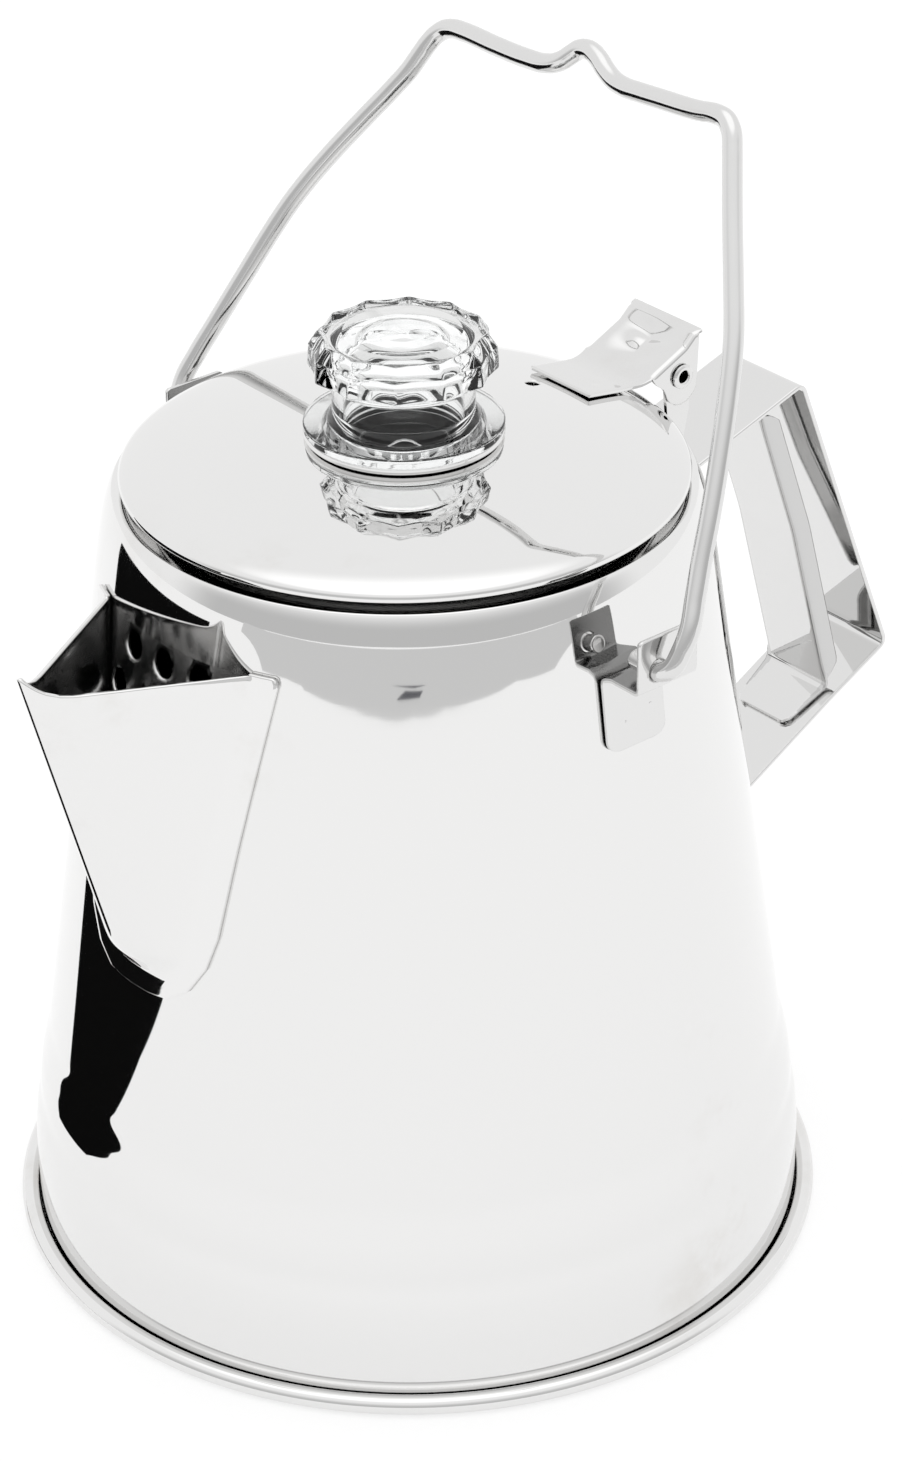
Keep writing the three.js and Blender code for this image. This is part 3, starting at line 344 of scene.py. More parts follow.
def polish():
    """Polished sheet: the roughness, height and tint of ripples, polishing lines, smudges and fine scratches.
    Lines and scratches run around the pot where Around is 1, else along the axis with the least Stretch."""
    tree, source, sink = node_group(
        "polished sheet",
        {"Vector": ("NodeSocketVector", None), "Stretch": ("NodeSocketVector", (900, 4, 900)),
         "Around": ("NodeSocketFloat", 1.0),
         "Base Roughness": ("NodeSocketFloat", 0.03), "Ripple Scale": ("NodeSocketFloat", 22.0),
         "Ripple Depth": ("NodeSocketFloat", 0.00003), "Line Depth": ("NodeSocketFloat", 0.0000003),
         "Smudge": ("NodeSocketFloat", 0.05), "Scratch": ("NodeSocketFloat", 0.08),
         "Clean": ("NodeSocketColor", (0.8, 0.798, 0.794, 1)), "Dull": ("NodeSocketColor", (0.73, 0.722, 0.71, 1))},
        {"Roughness": "NodeSocketFloat", "Height": "NodeSocketFloat", "Tint": "NodeSocketColor"})
    value = source.outputs
    straight = tree.nodes.new("ShaderNodeVectorMath")
    straight.operation = "MULTIPLY"
    tree.links.new(value["Vector"], straight.inputs[0])
    tree.links.new(value["Stretch"], straight.inputs[1])
    around = lathe_lines(tree, value["Vector"], 0.6, 900.0)
    lines = blend(tree, "VECTOR", value["Around"], straight.outputs[0], around)
    ripple = noise(tree, value["Vector"], value["Ripple Scale"], 1.0)
    grain = noise(tree, lines, 1.0, 4.0, 0.65)
    smudge = band(tree, noise(tree, value["Vector"], 34.0, 5.0, 0.6), 0.53, 0.72)
    thumb = band(tree, noise(tree, value["Vector"], 9.0, 2.0), 0.5, 0.66)
    smudge = math_node(tree, "MULTIPLY", smudge, thumb)
    scratch = band(tree, noise(tree, lines, 0.23, 2.0, 0.8), 0.7, 0.76)
    rough = value["Base Roughness"]
    for mark, depth in ((smudge, value["Smudge"]), (scratch, value["Scratch"]), (grain, 0.02)):
        rough = math_node(tree, "ADD", rough, math_node(tree, "MULTIPLY", mark, depth))
    height = math_node(tree, "ADD", math_node(tree, "MULTIPLY", ripple, value["Ripple Depth"]),
                       math_node(tree, "MULTIPLY", grain, value["Line Depth"]))
    tint = blend(tree, "RGBA", smudge, value["Clean"], value["Dull"])
    for label, result in (("Roughness", rough), ("Height", height), ("Tint", tint)):
        tree.links.new(result, sink.inputs[label])
    return tree


POLISH = polish()


def bumped(tree, height):
    """Feeds a height in metres to the material's normal."""
    bump = tree.nodes.new("ShaderNodeBump")
    bump.inputs["Distance"].default_value = 1.0
    tree.links.new(height, bump.inputs["Height"])
    tree.links.new(bump.outputs["Normal"], tree.nodes["Principled BSDF"].inputs["Normal"])


def steel(name, shade=0.8, stretch=None, **values):
    """Polished stainless steel. Its polishing lines run around the pot, or along the axis with the least stretch."""
    material = bpy.data.materials.new(name)
    material.use_nodes = True
    tree = material.node_tree
    shader = tree.nodes["Principled BSDF"]
    shader.inputs["Metallic"].default_value = 1.0
    place = tree.nodes.new("ShaderNodeTexCoord")
    finish = tree.nodes.new("ShaderNodeGroup")
    finish.node_tree = POLISH
    tree.links.new(place.outputs["Object"], finish.inputs["Vector"])
    if stretch is not None:
        finish.inputs["Around"].default_value = 0.0
        finish.inputs["Stretch"].default_value = stretch
    finish.inputs["Clean"].default_value = (shade, shade * 0.997, shade * 0.992, 1)
    finish.inputs["Dull"].default_value = (shade * 0.92, shade * 0.905, shade * 0.885, 1)
    for label, value in values.items():
        finish.inputs[label.replace("_", " ")].default_value = value
    tree.links.new(finish.outputs["Tint"], shader.inputs["Base Color"])
    tree.links.new(finish.outputs["Roughness"], shader.inputs["Roughness"])
    bumped(tree, finish.outputs["Height"])
    return material


def clear_resin():
    """Clear moulded resin, with faint flow marks and dust that lift the roughness."""
    material = bpy.data.materials.new("clear resin")
    material.use_nodes = True
    tree = material.node_tree
    shader = tree.nodes["Principled BSDF"]
    shader.inputs["Transmission Weight"].default_value = 1.0
    shader.inputs["IOR"].default_value = 1.42
    shader.inputs["Base Color"].default_value = (0.985, 0.99, 0.99, 1)
    place = tree.nodes.new("ShaderNodeTexCoord")
    marks = band(tree, noise(tree, place.outputs["Object"], 260.0, 4.0, 0.6), 0.55, 0.8)
    tree.links.new(math_node(tree, "MULTIPLY_ADD", marks, 0.06, 0.004), shader.inputs["Roughness"])
    flow = noise(tree, place.outputs["Object"], 90.0, 1.0)
    bumped(tree, math_node(tree, "MULTIPLY", flow, 0.00002))
    return material


POT_STEEL = steel("polished pot", Base_Roughness=0.02, Ripple_Depth=0.00006, Smudge=0.09)
LID_STEEL = steel("polished lid", Base_Roughness=0.015, Ripple_Scale=16.0, Ripple_Depth=0.00006)
SPOUT_STEEL = steel("polished spout", 0.81, (700, 700, 5), Ripple_Scale=30.0, Base_Roughness=0.04)
STRAP_STEEL = steel("polished strap", 0.74, (5, 900, 5), Ripple_Scale=30.0, Base_Roughness=0.03)
SMALL_STEEL = steel("pressed fittings", 0.74, (60, 900, 60), Ripple_Scale=70.0, Ripple_Depth=0.00002,
                    Base_Roughness=0.05)
WIRE_STEEL = steel("drawn wire", 0.72, (900, 12, 60), Ripple_Scale=60.0, Ripple_Depth=0.00001,
                   Base_Roughness=0.09, Scratch=0.15)
SATIN_STEEL = steel("satin steel", 0.7, Base_Roughness=0.2, Line_Depth=0.000001)
# Painted reflection: darker, warmer steel on the grip's turned sides stands in for a dark warm reflection.
GRIP_SHADE_STEEL = steel("grip sides with painted reflection", 0.6, (5, 900, 5), Base_Roughness=0.12, Smudge=0.3)
# Painted shade: the ears' sides that face the pot are darkened in their colour, standing in for the dark reflection
# there.
EAR_SHADE_STEEL = steel("steel with painted ear shade", 0.3, (900, 4, 900), Base_Roughness=0.2, Smudge=0.3)
# Painted shade: steel darkened for the recess inside the spout and the wall behind it, with extra smudges.
RECESS_SHADE_STEEL = steel("steel with painted recess shade", 0.68, Base_Roughness=0.14, Smudge=0.25, Ripple_Depth=0.00001)
CLEAR_RESIN = clear_resin()

# ------------------------------------------------------------------ pot and base


def pot_wall():
    """The pot's outer face: its profile turned about Z, with round strainer holes behind the spout. The shoulder is
    the cubic (1 - t)^3 A + 3 t (1 - t)^2 B + 3 t^2 (1 - t) C + t^3 D from the cone to the ledge."""
    low_band = BASE_RADIUS - 4.7
    flange = rounded([[SEAM_CENTRE + 0.2, 2.3], [low_band, 2.3], [low_band, 14]], 0.8)[:-1]
    bands = curve([
        [low_band, 14], [low_band, 20], [low_band - 0.75, 28], [low_band - 1.75, 33], [low_band - 2.15, 37.5],
        [low_band - 2.75, 41.5], [low_band - 3.75, 46], [wall(52), 52], [wall(56), 56], [wall(60), 60]], 60)[:-1]
    straight = np.concatenate([np.arange(60, 130, 8.0), np.arange(130, 176, 0.75)])
    t = np.linspace(0, 1, 22)[:, None]
    shoulder = (np.array([wall(176), 176]) * (1 - t) ** 3 + 3 * np.array([wall(187), 187]) * t * (1 - t) ** 2
                + 3 * np.array([70.2, 192.8]) * t ** 2 * (1 - t)
                + np.array([LEDGE_RADIUS, LEDGE_HEIGHT - 0.2]) * t ** 3)
    mouth = rounded([[LEDGE_RADIUS - 0.2, LEDGE_HEIGHT], [NECK_RADIUS, LEDGE_HEIGHT],
                     [NECK_RADIUS, LEDGE_HEIGHT - 9]], 1.2)
    line = np.vstack([flange, bands, np.stack([wall(straight), straight], 1), shoulder, mouth])
    points, quads = turned(line, denser(180 + SPOUT_YAW, 20, 0.5))
    for row, count in enumerate(STRAINER_ROWS):
        height = STRAINER_TOP - STRAINER_PITCH * row
        for i in range(count):
            turn = math.radians(180 + SPOUT_YAW) + (i - (count - 1) / 2) * STRAINER_PITCH / wall(height)
            axis = (math.cos(turn), math.sin(turn), 0)
            centre = (wall(height) * axis[0], wall(height) * axis[1], height)
            points, quads = pierced(points, quads, centre, axis, STRAINER_RADIUS)
    # The points that a hole has moved stand on the cone again.
    cone = (points[:, 2] > 128) & (points[:, 2] < 175.9)
    radius = np.hypot(points[cone, 0], points[cone, 1])
    points[cone, :2] *= (wall(points[cone, 2]) / radius)[:, None]
    return points, quads


def under_spout(middle):
    """The part of the wall that the spout covers, behind it and between its flanges, which gets painted shade."""
    x, y, z = middle.T
    across = np.abs(y - x * math.tan(math.radians(SPOUT_YAW)))
    return (x < 0) & (z > 104) & (z < 179) & (across < 12 + 0.16 * (z - PANEL_FOOT))


# The wall behind the spout gets the steel with painted recess shade.
piece("pot_wall", pot_wall(), "pot", ["body_shell"], POT_STEEL, SHEET,
      inside=RECESS_SHADE_STEEL, where=under_spout)


def base():
    """Flat disc whose edge rolls around a circle of the seam's radius, with the sheet's inner face inside it."""
    turn = np.radians(-90 + np.linspace(0, SEAM_TURN, 33))
    bead = np.stack([SEAM_CENTRE + SEAM_RADIUS * np.cos(turn), SEAM_RADIUS + SEAM_RADIUS * np.sin(turn)], 1)
    curl = SEAM_RADIUS - SHEET
    back = np.stack([SEAM_CENTRE + curl * np.cos(turn), SEAM_RADIUS + curl * np.sin(turn)], 1)[::-1]
    under = np.stack([np.linspace(0, SEAM_CENTRE - EDGE, 24), np.zeros(24)], 1)
    over = np.stack([np.linspace(SEAM_CENTRE - EDGE, 0, 12), np.full(12, SHEET)], 1)
    return turned(np.vstack([under, bead, back, over]))


piece("base", base(), "pot", ["base_plate", "base_seam"], POT_STEEL)

# ------------------------------------------------------------------ spout

# Half the distance between the flanges' edges, against the height: [height, distance].
FLANGE_EDGE = np.array([[93.9, 3.5], [94.6, 10.2], [98.4, 15.9], [105.6, 20.4], [114.1, 22.9],
                        [137.5, 26], [168, 30.5], [178.6, 32], [180, 31.4], [180.8, 29.6]])


def spout():
    """Folded sheet on the cone: at each height the section runs from the flange's edge along the wall, bends out to
    a straight panel, folds over the nose and comes back alike. A point's distance from the axis is at least the
    flange's. The rim is level beside the wall and rises as a power of the distance towards the lip."""
    drop = 1 - np.cos(np.linspace(0, math.pi / 2, 16))
    level = np.concatenate([FLANGE_FOOT + 4.9 * drop, np.linspace(98.9, 108, 16), np.linspace(108.8, 168, 34),
                            np.linspace(169, SPOUT_RIM - EDGE, 12), [SPOUT_RIM]])[:, None]
    part = np.concatenate([np.linspace(0, 1, 7) * 0.25, 0.25 + 0.1 * np.linspace(0.15, 1, 8),
                           0.35 + 0.45 * np.linspace(0.1, 1, 14), 0.8 + 0.2 * np.linspace(0.1, 1, 12)])[None, :]
    rim = np.full((1, part.shape[1]), SPOUT_RIM)
    for _ in range(3):
        top = np.clip((level - 168) / (SPOUT_RIM - 168), 0, 1)
        height = level + top * (rim - SPOUT_RIM)
        x, y = spout_section(height, part + 0 * level)
        rise = LIP_RISE * np.clip((-x[-1:] - 99.8) / 13.0, 0, 1) ** 3.2
        rim = SPOUT_RIM + 0.3 * (part < FLANGE_PART) + rise
    half = np.stack([x, y, height], -1)
    other = half[:, -2::-1] * np.array([1, -1, 1])
    surface = np.concatenate([half, other], 1)
    turn = math.radians(SPOUT_YAW)
    x, y = surface[..., 0].copy(), surface[..., 1].copy()
    surface[..., 0] = x * math.cos(turn) - y * math.sin(turn)
    surface[..., 1] = x * math.sin(turn) + y * math.cos(turn)
    return grid(surface)


def spout_section(height, part):
    """X and Y of the half section at a height: part 0 is the flange's edge, 1 the middle of the nose. The nose
    follows one straight line above PANEL_FOOT and a steeper one below it, blended by -log(exp(-a) + exp(-b))."""
    face = wall(height) + GAP + SHEET
    edge = np.interp(height, FLANGE_EDGE[:, 0], FLANGE_EDGE[:, 1])
    nose = 91.3 + 0.277 * (height - PANEL_FOOT)
    foot = 84.4 + 0.92 * (height - NOSE_FOOT)
    nose = -np.log(np.exp(-nose) + np.exp(-foot))
    half = np.minimum(14.4 + 0.1608 * (height - PANEL_FOOT), 9 + 0.72 * (height - NOSE_FOOT))
    half = np.clip(half, 0.45 * edge, 0.82 * edge)
    root_x = -np.sqrt(face ** 2 - half ** 2)
    spread = np.hypot(half, nose + root_x)
    reach = np.minimum(NOSE_REACH, 0.45 * spread)
    tip = -(np.maximum(nose, face) + reach * np.clip((nose + root_x) / spread, 0, 1) / 2)
    run = np.hypot(half, tip - root_x)
    way_x, way_y = (tip - root_x) / run, -half / run
    on_flange = np.clip(part / FLANGE_PART, 0, 1)
    y = edge + (half - edge) * on_flange
    x = -np.sqrt(face ** 2 - y ** 2)
    along = np.clip((part - FLANGE_PART) / (BEND_PART - FLANGE_PART), 0, 1) * (run - reach)
    x = np.where(part > FLANGE_PART, root_x + way_x * along, x)
    y = np.where(part > FLANGE_PART, half + way_y * along, y)
    t = np.clip((part - BEND_PART) / (1 - BEND_PART), 0, 1) / 2
    bend_x = tip - way_x * reach * (1 - t) ** 2 - way_x * reach * t ** 2
    bend_y = -way_y * reach * (1 - t) ** 2 + way_y * reach * t ** 2
    x = np.where(part > BEND_PART, bend_x, x)
    y = np.where(part > BEND_PART, bend_y, y)
    far = np.hypot(x, y)
    grown = 0.5 * (far + face + np.sqrt((far - face) ** 2 + 0.16)) - 0.19
    grow = np.where(part > 0.15, np.maximum(grown, face) / far, 1)
    return x * grow, y * grow


# The spout's inner side gets the steel with painted recess shade.
piece("spout", spout(), "pot", ["spout"], SPOUT_STEEL, SHEET, even=False, inside=RECESS_SHADE_STEEL)

# ------------------------------------------------------------------ lid


def lid():
    """The lid's top face: a shallow dome turned about Z whose edge rolls down, with a small round vent."""
    start = LID_RADIUS - LID_ROLL
    t = np.linspace(0, 1, 13)[:, None]
    ends = np.array([[LID_RADIUS, LID_LOW + 0.9], [LID_RADIUS, dome(start) - start / LID_DOME * LID_ROLL],
                     [start, dome(start)]])
    roll = ends[0] * (1 - t) ** 2 + 2 * ends[1] * t * (1 - t) + ends[2] * t ** 2
    radius = np.concatenate([np.arange(start - 1, 45.5, -1.5), np.arange(45.2, 40, -0.4),
                             np.arange(39.4, LID_HOLE, -1.5), [LID_HOLE + EDGE, LID_HOLE]])
    hem = np.array([[LID_RADIUS - 0.12, LID_LOW], [LID_RADIUS - 0.03, LID_LOW + EDGE]])
    line = np.vstack([hem, roll, np.stack([radius, dome(radius)], 1)])
    points, quads = turned(line, denser(math.degrees(math.atan2(VENT[1], VENT[0])), 5, 0.4))
    return pierced(points, quads, (*VENT, dome(43)), (0, 0, 1), VENT_RADIUS)


piece("lid", lid(), "lid", ["lid_shell"], LID_STEEL, SHEET)

skirt = NECK_RADIUS - 1.0
under = dome(skirt - 7) - SHEET - GAP - 0.1
piece("lid_skirt", turned(stepped(rounded([
    [skirt, LEDGE_HEIGHT - 6], [skirt, under - 2], [skirt - 1.5, under - 0.7], [skirt - 7, under]], 1.0), 4.0)),
    "lid", ["lid_skirt"], SATIN_STEEL, SHEET)

seat = dome(23.3) + GAP
piece("knob_seat", turned(rounded([
    [18.2, seat + 0.5], [22.7, seat], [23.5, seat + 0.8], [22.9, seat + KNOB_RIM], [18.2, seat + KNOB_RIM],
    [18.2, seat + 0.5]], 0.5)), "lid", ["knob_seat_ring"], LID_STEEL)

below = dome(21) - SHEET - GAP
piece("knob_nut", turned(rounded([
    [17, below - 3.4], [18.2, below - 3.4], [18.2, below - 1], [21, below - 1], [21, below], [17, below],
    [17, below - 3.4]], 0.2)), "lid", ["knob_retaining_ring"], SATIN_STEEL)

# ------------------------------------------------------------------ knob


def knob():
    """Clear knob: outer and inner profile turned about Z. Around the cap the radius loses
    depth |sin(lobes (a - phase) / 2)|, so that hollows meet in pointed lobes."""
    flange = seat + KNOB_RIM + GAP
    outer = rounded([
        [13.9, 198.2], [16.5, 198.2], [16.5, flange], [23.3, flange], [23.3, flange + 1.7], [17.6, flange + 2.7],
        [16.5, flange + 5.5], [16.6, 222.4], [19.5, 223.6], [22, 224.3], [21.7, 229.6], [19.4, KNOB_TOP - 0.2],
        [16.6, KNOB_TOP - 1.2], [13.8, KNOB_TOP - 0.1], [7, KNOB_TOP + 0.35], [0.02, KNOB_TOP + 0.5]],
        [0.3, 0.3, 0.2, 0.5, 0.7, 2, 2, 2, 0.6, 0.6, 0.5, 0.7, 0.6, 10], 5)
    inner = rounded([
        [0.02, 230.2], [9.5, 229.8], [13.9, 226.5], [13.9, 200], [13.9, 198.2]], [5, 3, 1], 5)

    def lobes(r, z, a):
        cap = np.clip((r - 18.0) / 1.2, 0, 1) * np.clip((z - 223.4) / 0.8, 0, 1)
        wave = np.abs(np.sin(KNOB_LOBES * (a - math.radians(KNOB_PHASE)) / 2)) ** 1.15
        return 1 - 1.25 * cap * wave / np.maximum(r, 1)

    line = np.vstack([stepped(outer, 1.5), stepped(inner, 2.0)])
    line[np.abs(line[:, 0]) < 0.03, 0] = 0
    return turned(line, KNOB_PHASE + np.arange(0, 360, 360 / (KNOB_LOBES * 22)), lobes)


piece("knob", knob(), "knob", ["knob"], CLEAR_RESIN)

# ------------------------------------------------------------------ lid hinge


def hinge_leaf():
    """Leaf, ramp and thumb tab as one sheet with its sides turned down. Along the line the half width grows from
    the leaf's to the tab's. Beyond a small bend each side hangs to the cheek's outline: a circle below the hinge."""
    lift = GAP + SHEET + 0.1
    line = rounded([
        [47.9, dome(47.9) + lift], [59.9, dome(59.9) + lift], [64.6, dome(60.5) + lift], [77.2, 209.3],
        [80.1, 211.9], [82.3, 212.6]], [30, 9, 5, 1.5], 10)
    line = stepped(line, 0.8)
    x, z = line[:, 0], line[:, 1]
    width = np.interp(x, [47.9, 61, 67, 90], [10.7, 10.7, 12, 12])
    circle = 199.65 - np.sqrt(np.clip(CHEEK_RADIUS ** 2 - (x - HINGE[0]) ** 2, 0, None))
    side_low = np.interp(x, [64.5, 70.7, 80.7, 81.2, 84], [204.4, 199.7, 199.7, 210.5, 212.2])
    low = np.where(np.abs(x - HINGE[0]) < CHEEK_RADIUS, circle, side_low)
    depth = np.clip(z - 1.6 - low, 0, None) * np.clip((x - 64.5) / 2, 0, 1) * np.clip((81.6 - x) / 0.6, 0, 1)
    v = np.concatenate([np.linspace(0, 0.9, 15), [0.97]])
    y = v[None, :] * (width[:, None] - LEAF_BEND)
    dish = np.clip((x - 66) / 6, 0, 1) * np.clip((81.5 - x) / 3, 0, 1)
    sag = -1.7 * dish[:, None] * np.cos(v[None, :] * math.pi / 2) ** 2
    boss = 0.9 * np.exp(-((x[:, None] - 74.5) / 2.2) ** 2 - ((y - 2.5) / 3.4) ** 2)
    top = np.stack([x[:, None] + 0 * y, y, z[:, None] + sag + boss], -1)
    turn = np.linspace(0, math.pi / 2, 6)[None, :]
    bend_y = width[:, None] - LEAF_BEND + LEAF_BEND * np.sin(turn)
    bend_z = z[:, None] - np.minimum(LEAF_BEND, depth[:, None] + 0.15) * (1 - np.cos(turn))
    bend = np.stack([x[:, None] + 0 * bend_y, bend_y, bend_z], -1)
    hang = np.concatenate([[0.06], np.linspace(0.15, 0.94, 20), [1.0]])[None, :] * depth[:, None]
    side = np.stack([x[:, None] + 0 * hang, width[:, None] + 0 * hang, bend_z[:, -1:] - hang], -1)
    right = np.concatenate([top, bend, side], 1) * np.array([1, -1, 1])
    left = right[:, :0:-1] * np.array([1, -1, 1])
    points, quads = grid(np.concatenate([left, right], 1))
    for sign in (-1, 1):
        points, quads = pierced(points, quads, (HINGE[0], sign * 12, HINGE[1]), (0, sign, 0), 2.5, 2)
    for mark in ((54.5, -5.2, 205.3), (61, -6.3, 205.1), (56, 4.5, 205.3)):
        points = dented(points, mark, 0.7, -0.25, (0, 0, 1))
    return points, quads


piece("hinge_leaf", hinge_leaf(), "lid", ["lid_hinge_leaf"], SMALL_STEEL, SHEET)


def rivet():
    """Hollow rivet along Y: a tube whose two ends roll over the cheeks."""
    half = 12.25
    side = [[1.5, half + 0.5], [1.8, half + 0.85], [2.5, half + 0.9], [3.1, half + 0.5],
            [3.0, half + 0.05], [2.2, half]]
    mirror = [[r, -y] for r, y in side]
    line = rounded([[1.5, -half], [1.5, half], *side, *mirror[::-1], [1.5, -half]], 0.25, 3)
    points, quads = turned(line, np.arange(0, 360, 7.5))
    return points[:, [0, 2, 1]] + np.array([HINGE[0], 0, HINGE[1]]), quads


piece("hinge_rivet", rivet(), "pot", ["hinge_pin"], SMALL_STEEL)

# ------------------------------------------------------------------ handle

ARM_TOP = (wall(175) + GAP + SHEET / 2, 175.0)
ARM_LOW = (wall(72.6) + GAP + SHEET / 2, 72.6)
SPINE_TOP = np.array([115.2, 188.2])
SPINE_FOOT = np.array([148.2, 104.6])
ARM_BREAK = np.array([128.6, 94.65])


def in_xz(line):
    """A line of (x, z) as (x, 0, z)."""
    return np.stack([line[:, 0], 0 * line[:, 0], line[:, 1]], 1)


def strap():
    """Outer strap: a band of one width along its line from the upper flange round to the lower one."""
    line = stepped(rounded([
        [wall(163) + GAP + SHEET / 2, 163.0], ARM_TOP, SPINE_TOP, SPINE_FOOT, ARM_BREAK, ARM_LOW,
        [wall(60.6) + GAP + SHEET / 2, 60.6]], [3, 2.6, 2.6, 12, 3], 8), 6.0)
    line = in_xz(line)
    return grid(strip(line, corner_width(line, 13.4, 1.2), (0, 1, 0)))


piece("handle_strap", strap(), "pot", ["handle_strap"], STRAP_STEEL, SHEET, 0.0)


def grip():
    """Inner grip: its face follows a line inside the spine, its two sides turn towards the spine, and its foot
    tapers along the lower arm. Point (s, v) is line(s) + y(v) across + depth(s) n(v) towards the spine."""
    spine = unit(SPINE_FOOT - SPINE_TOP)
    inward = np.array([spine[1], -spine[0]])
    upper, lower = SPINE_TOP + inward * 11.7, SPINE_FOOT + inward * 17.5
    lay = SHEET + GAP
    line = rounded([
        [upper[0] + 5, beside(ARM_TOP, SPINE_TOP, upper[0] + 5, -lay)],
        [upper[0] - 0.4, beside(ARM_TOP, SPINE_TOP, upper[0] - 0.4, -lay)],
        upper + (lower - upper) * 0.45 + np.array([0.6, 0]),
        [lower[0] - 1.6, beside(ARM_BREAK, SPINE_FOOT, lower[0] - 1.6, lay)],
        [ARM_BREAK[0] - 11.5, beside(ARM_LOW, ARM_BREAK, ARM_BREAK[0] - 11.5, lay)]], [2.6, 60, 2.6], 8)
    line = stepped(line, 1.5)
    length = np.concatenate([[0], np.cumsum(np.linalg.norm(np.diff(line, axis=0), axis=1))])
    down = np.gradient(line, length, axis=0)
    normal = unit(np.stack([-down[:, 1], down[:, 0]], 1))
    shoulder = length[np.argmin(np.linalg.norm(line - upper, axis=1))]
    heel = length[np.argmin(np.linalg.norm(line - np.array([lower[0] - 1.6, 97]), axis=1))]
    rise = np.clip((length - shoulder - 1.5) / 4, 0, 1) * np.clip((heel - 2.5 - length) / 3, 0, 1)
    depth = 0.05 + 4.4 * rise ** 0.6
    width = np.interp(length, [0, heel, length[-1]], [10.3, 10.5, 8.6])
    width = corner_width(in_xz(line), width, 2.2)
    t = np.linspace(0, math.pi / 2, 6)[1:-1]
    flat = np.linspace(-1, 1, 19)
    bend = np.concatenate([np.zeros(6), 1 - np.cos(t)])
    lift = np.concatenate([[1, 0.93, 0.8, 0.6, 0.45, 0.3], 0.28 * (1 - np.sin(t))])
    y = np.concatenate([-np.ones(len(bend)), flat, np.ones(len(bend))])
    bend = np.concatenate([bend, np.ones(len(flat)), bend[::-1]])
    lift = np.concatenate([lift, np.zeros(len(flat)), lift[::-1]])
    across = y[None, :] * (width[:, None] - 1.2 * bend[None, :])
    rise_by = lift[None, :] * depth[:, None]
    surface = np.stack([line[:, :1] + normal[:, :1] * rise_by, across, line[:, 1:] + normal[:, 1:] * rise_by], -1)
    return grid(surface)


def beside(start, end, x, distance):
    """Height at x of the line that lies a distance above the line through two points."""
    slope = (end[1] - start[1]) / (end[0] - start[0])
    return start[1] + slope * (x - start[0]) + distance * math.hypot(1, slope)


def turned_sides(middle):
    """The grip's two turned sides, which get the steel with painted reflection."""
    return np.abs(middle[:, 1]) > 9.2


# The grip's turned sides get a painted reflection: darker, warmer steel.
piece("handle_grip", grip(), "pot", ["handle_grip"], STRAP_STEEL, SHEET, 0.0,
      inside=GRIP_SHADE_STEEL, where=turned_sides)

# ------------------------------------------------------------------ ears and bail


def ear(side):
    """Ear: foot on the wall, shelf and upright tab along a line in YZ, with round lower corners, a hole for the
    wire and three weld marks pressed into the foot."""
    foot, root = wall(156.8) + GAP + SHEET / 2 + 0.15, wall(174) + GAP + SHEET / 2 + 0.15
    line = rounded([[foot, 156.8], [root, 175.0], [root + 3, 176], [EAR_TAB, 176], [EAR_TAB, 189.2]], [2, 2, 1.6], 6)
    line = stepped(line, 0.45)
    line = np.stack([0 * line[:, 0] + EAR_MIDDLE, side * line[:, 0], line[:, 1]], 1)
    width = corner_width(line, EAR_HALF, 3.0, True, False)
    width = corner_width(line, width, 0.9, False, True)
    surface = strip(line, width, (side, 0, 0), 35)
    points, quads = grid(surface)
    points, quads = pierced(points, quads, (BAIL_PIVOT[0], side * EAR_TAB, BAIL_PIVOT[1]), (0, side, 0), 2.8, 1)
    for x, height in ((5.5, 171.5), (7.8, 165.5), (0.2, 163.5)):
        points = dented(points, (x, side * (wall(height) + 0.95), height), 0.6, -0.3 * side, (0, 1, 0))
    return points, quads


# The ears' sides that face the pot get the steel with painted shade.
piece("ear_right", ear(-1), "pot", ["bail_ear_right"], SMALL_STEEL, SHEET, 0.0, inside=EAR_SHADE_STEEL)
piece("ear_left", ear(1), "pot", ["bail_ear_left"], SMALL_STEEL, SHEET, 0.0, inside=EAR_SHADE_STEEL)

# The bail's centre line in its leaning plane, from the pivot: [distance to the left, height].
BAIL_LINE = [
    [-79, 0], [-83.35, 0], [-87.35, 0.1], [-89.85, 1.9], [-90.7, 6.2],
    [-90.7, 10.7], [-88.9, 17.8], [-87.1, 24.4], [-84.5, 35], [-80.9, 47.8], [-76.9, 60.5], [-72.2, 73],
    [-65.9, 84.9], [-59.3, 96.9], [-54, 106.9], [-51.9, 110.9], [-49.7, 114.5], [-46.9, 116.5], [-43.5, 116.8],
    [-38.7, 116.1], [-26, 115.2], [-19.5, 114.8], [-14.6, 114.6], [-10.7, 115.1], [-7.3, 116.4], [-3.4, 118.4],
    [-0.1, 119.3], [2.9, 118.7], [4.8, 117], [6.8, 115], [8.9, 113.7], [12.1, 112.7], [18, 112.2],
    [29.2, 112.1], [40.2, 112.3], [43.8, 112.1], [46.9, 111.1], [49.1, 109.1], [50.6, 106.5], [51.9, 103.2],
    [53.4, 99.3], [56.8, 93.3], [62.4, 84.4], [69.3, 73], [73.4, 65.4], [76.9, 57.6], [79.3, 50.7],
    [83.1, 37.8], [87.3, 23.3], [89.7, 15], [91.2, 7], [89.95, 1.9], [87.35, 0.1], [83.35, 0], [79, 0]]


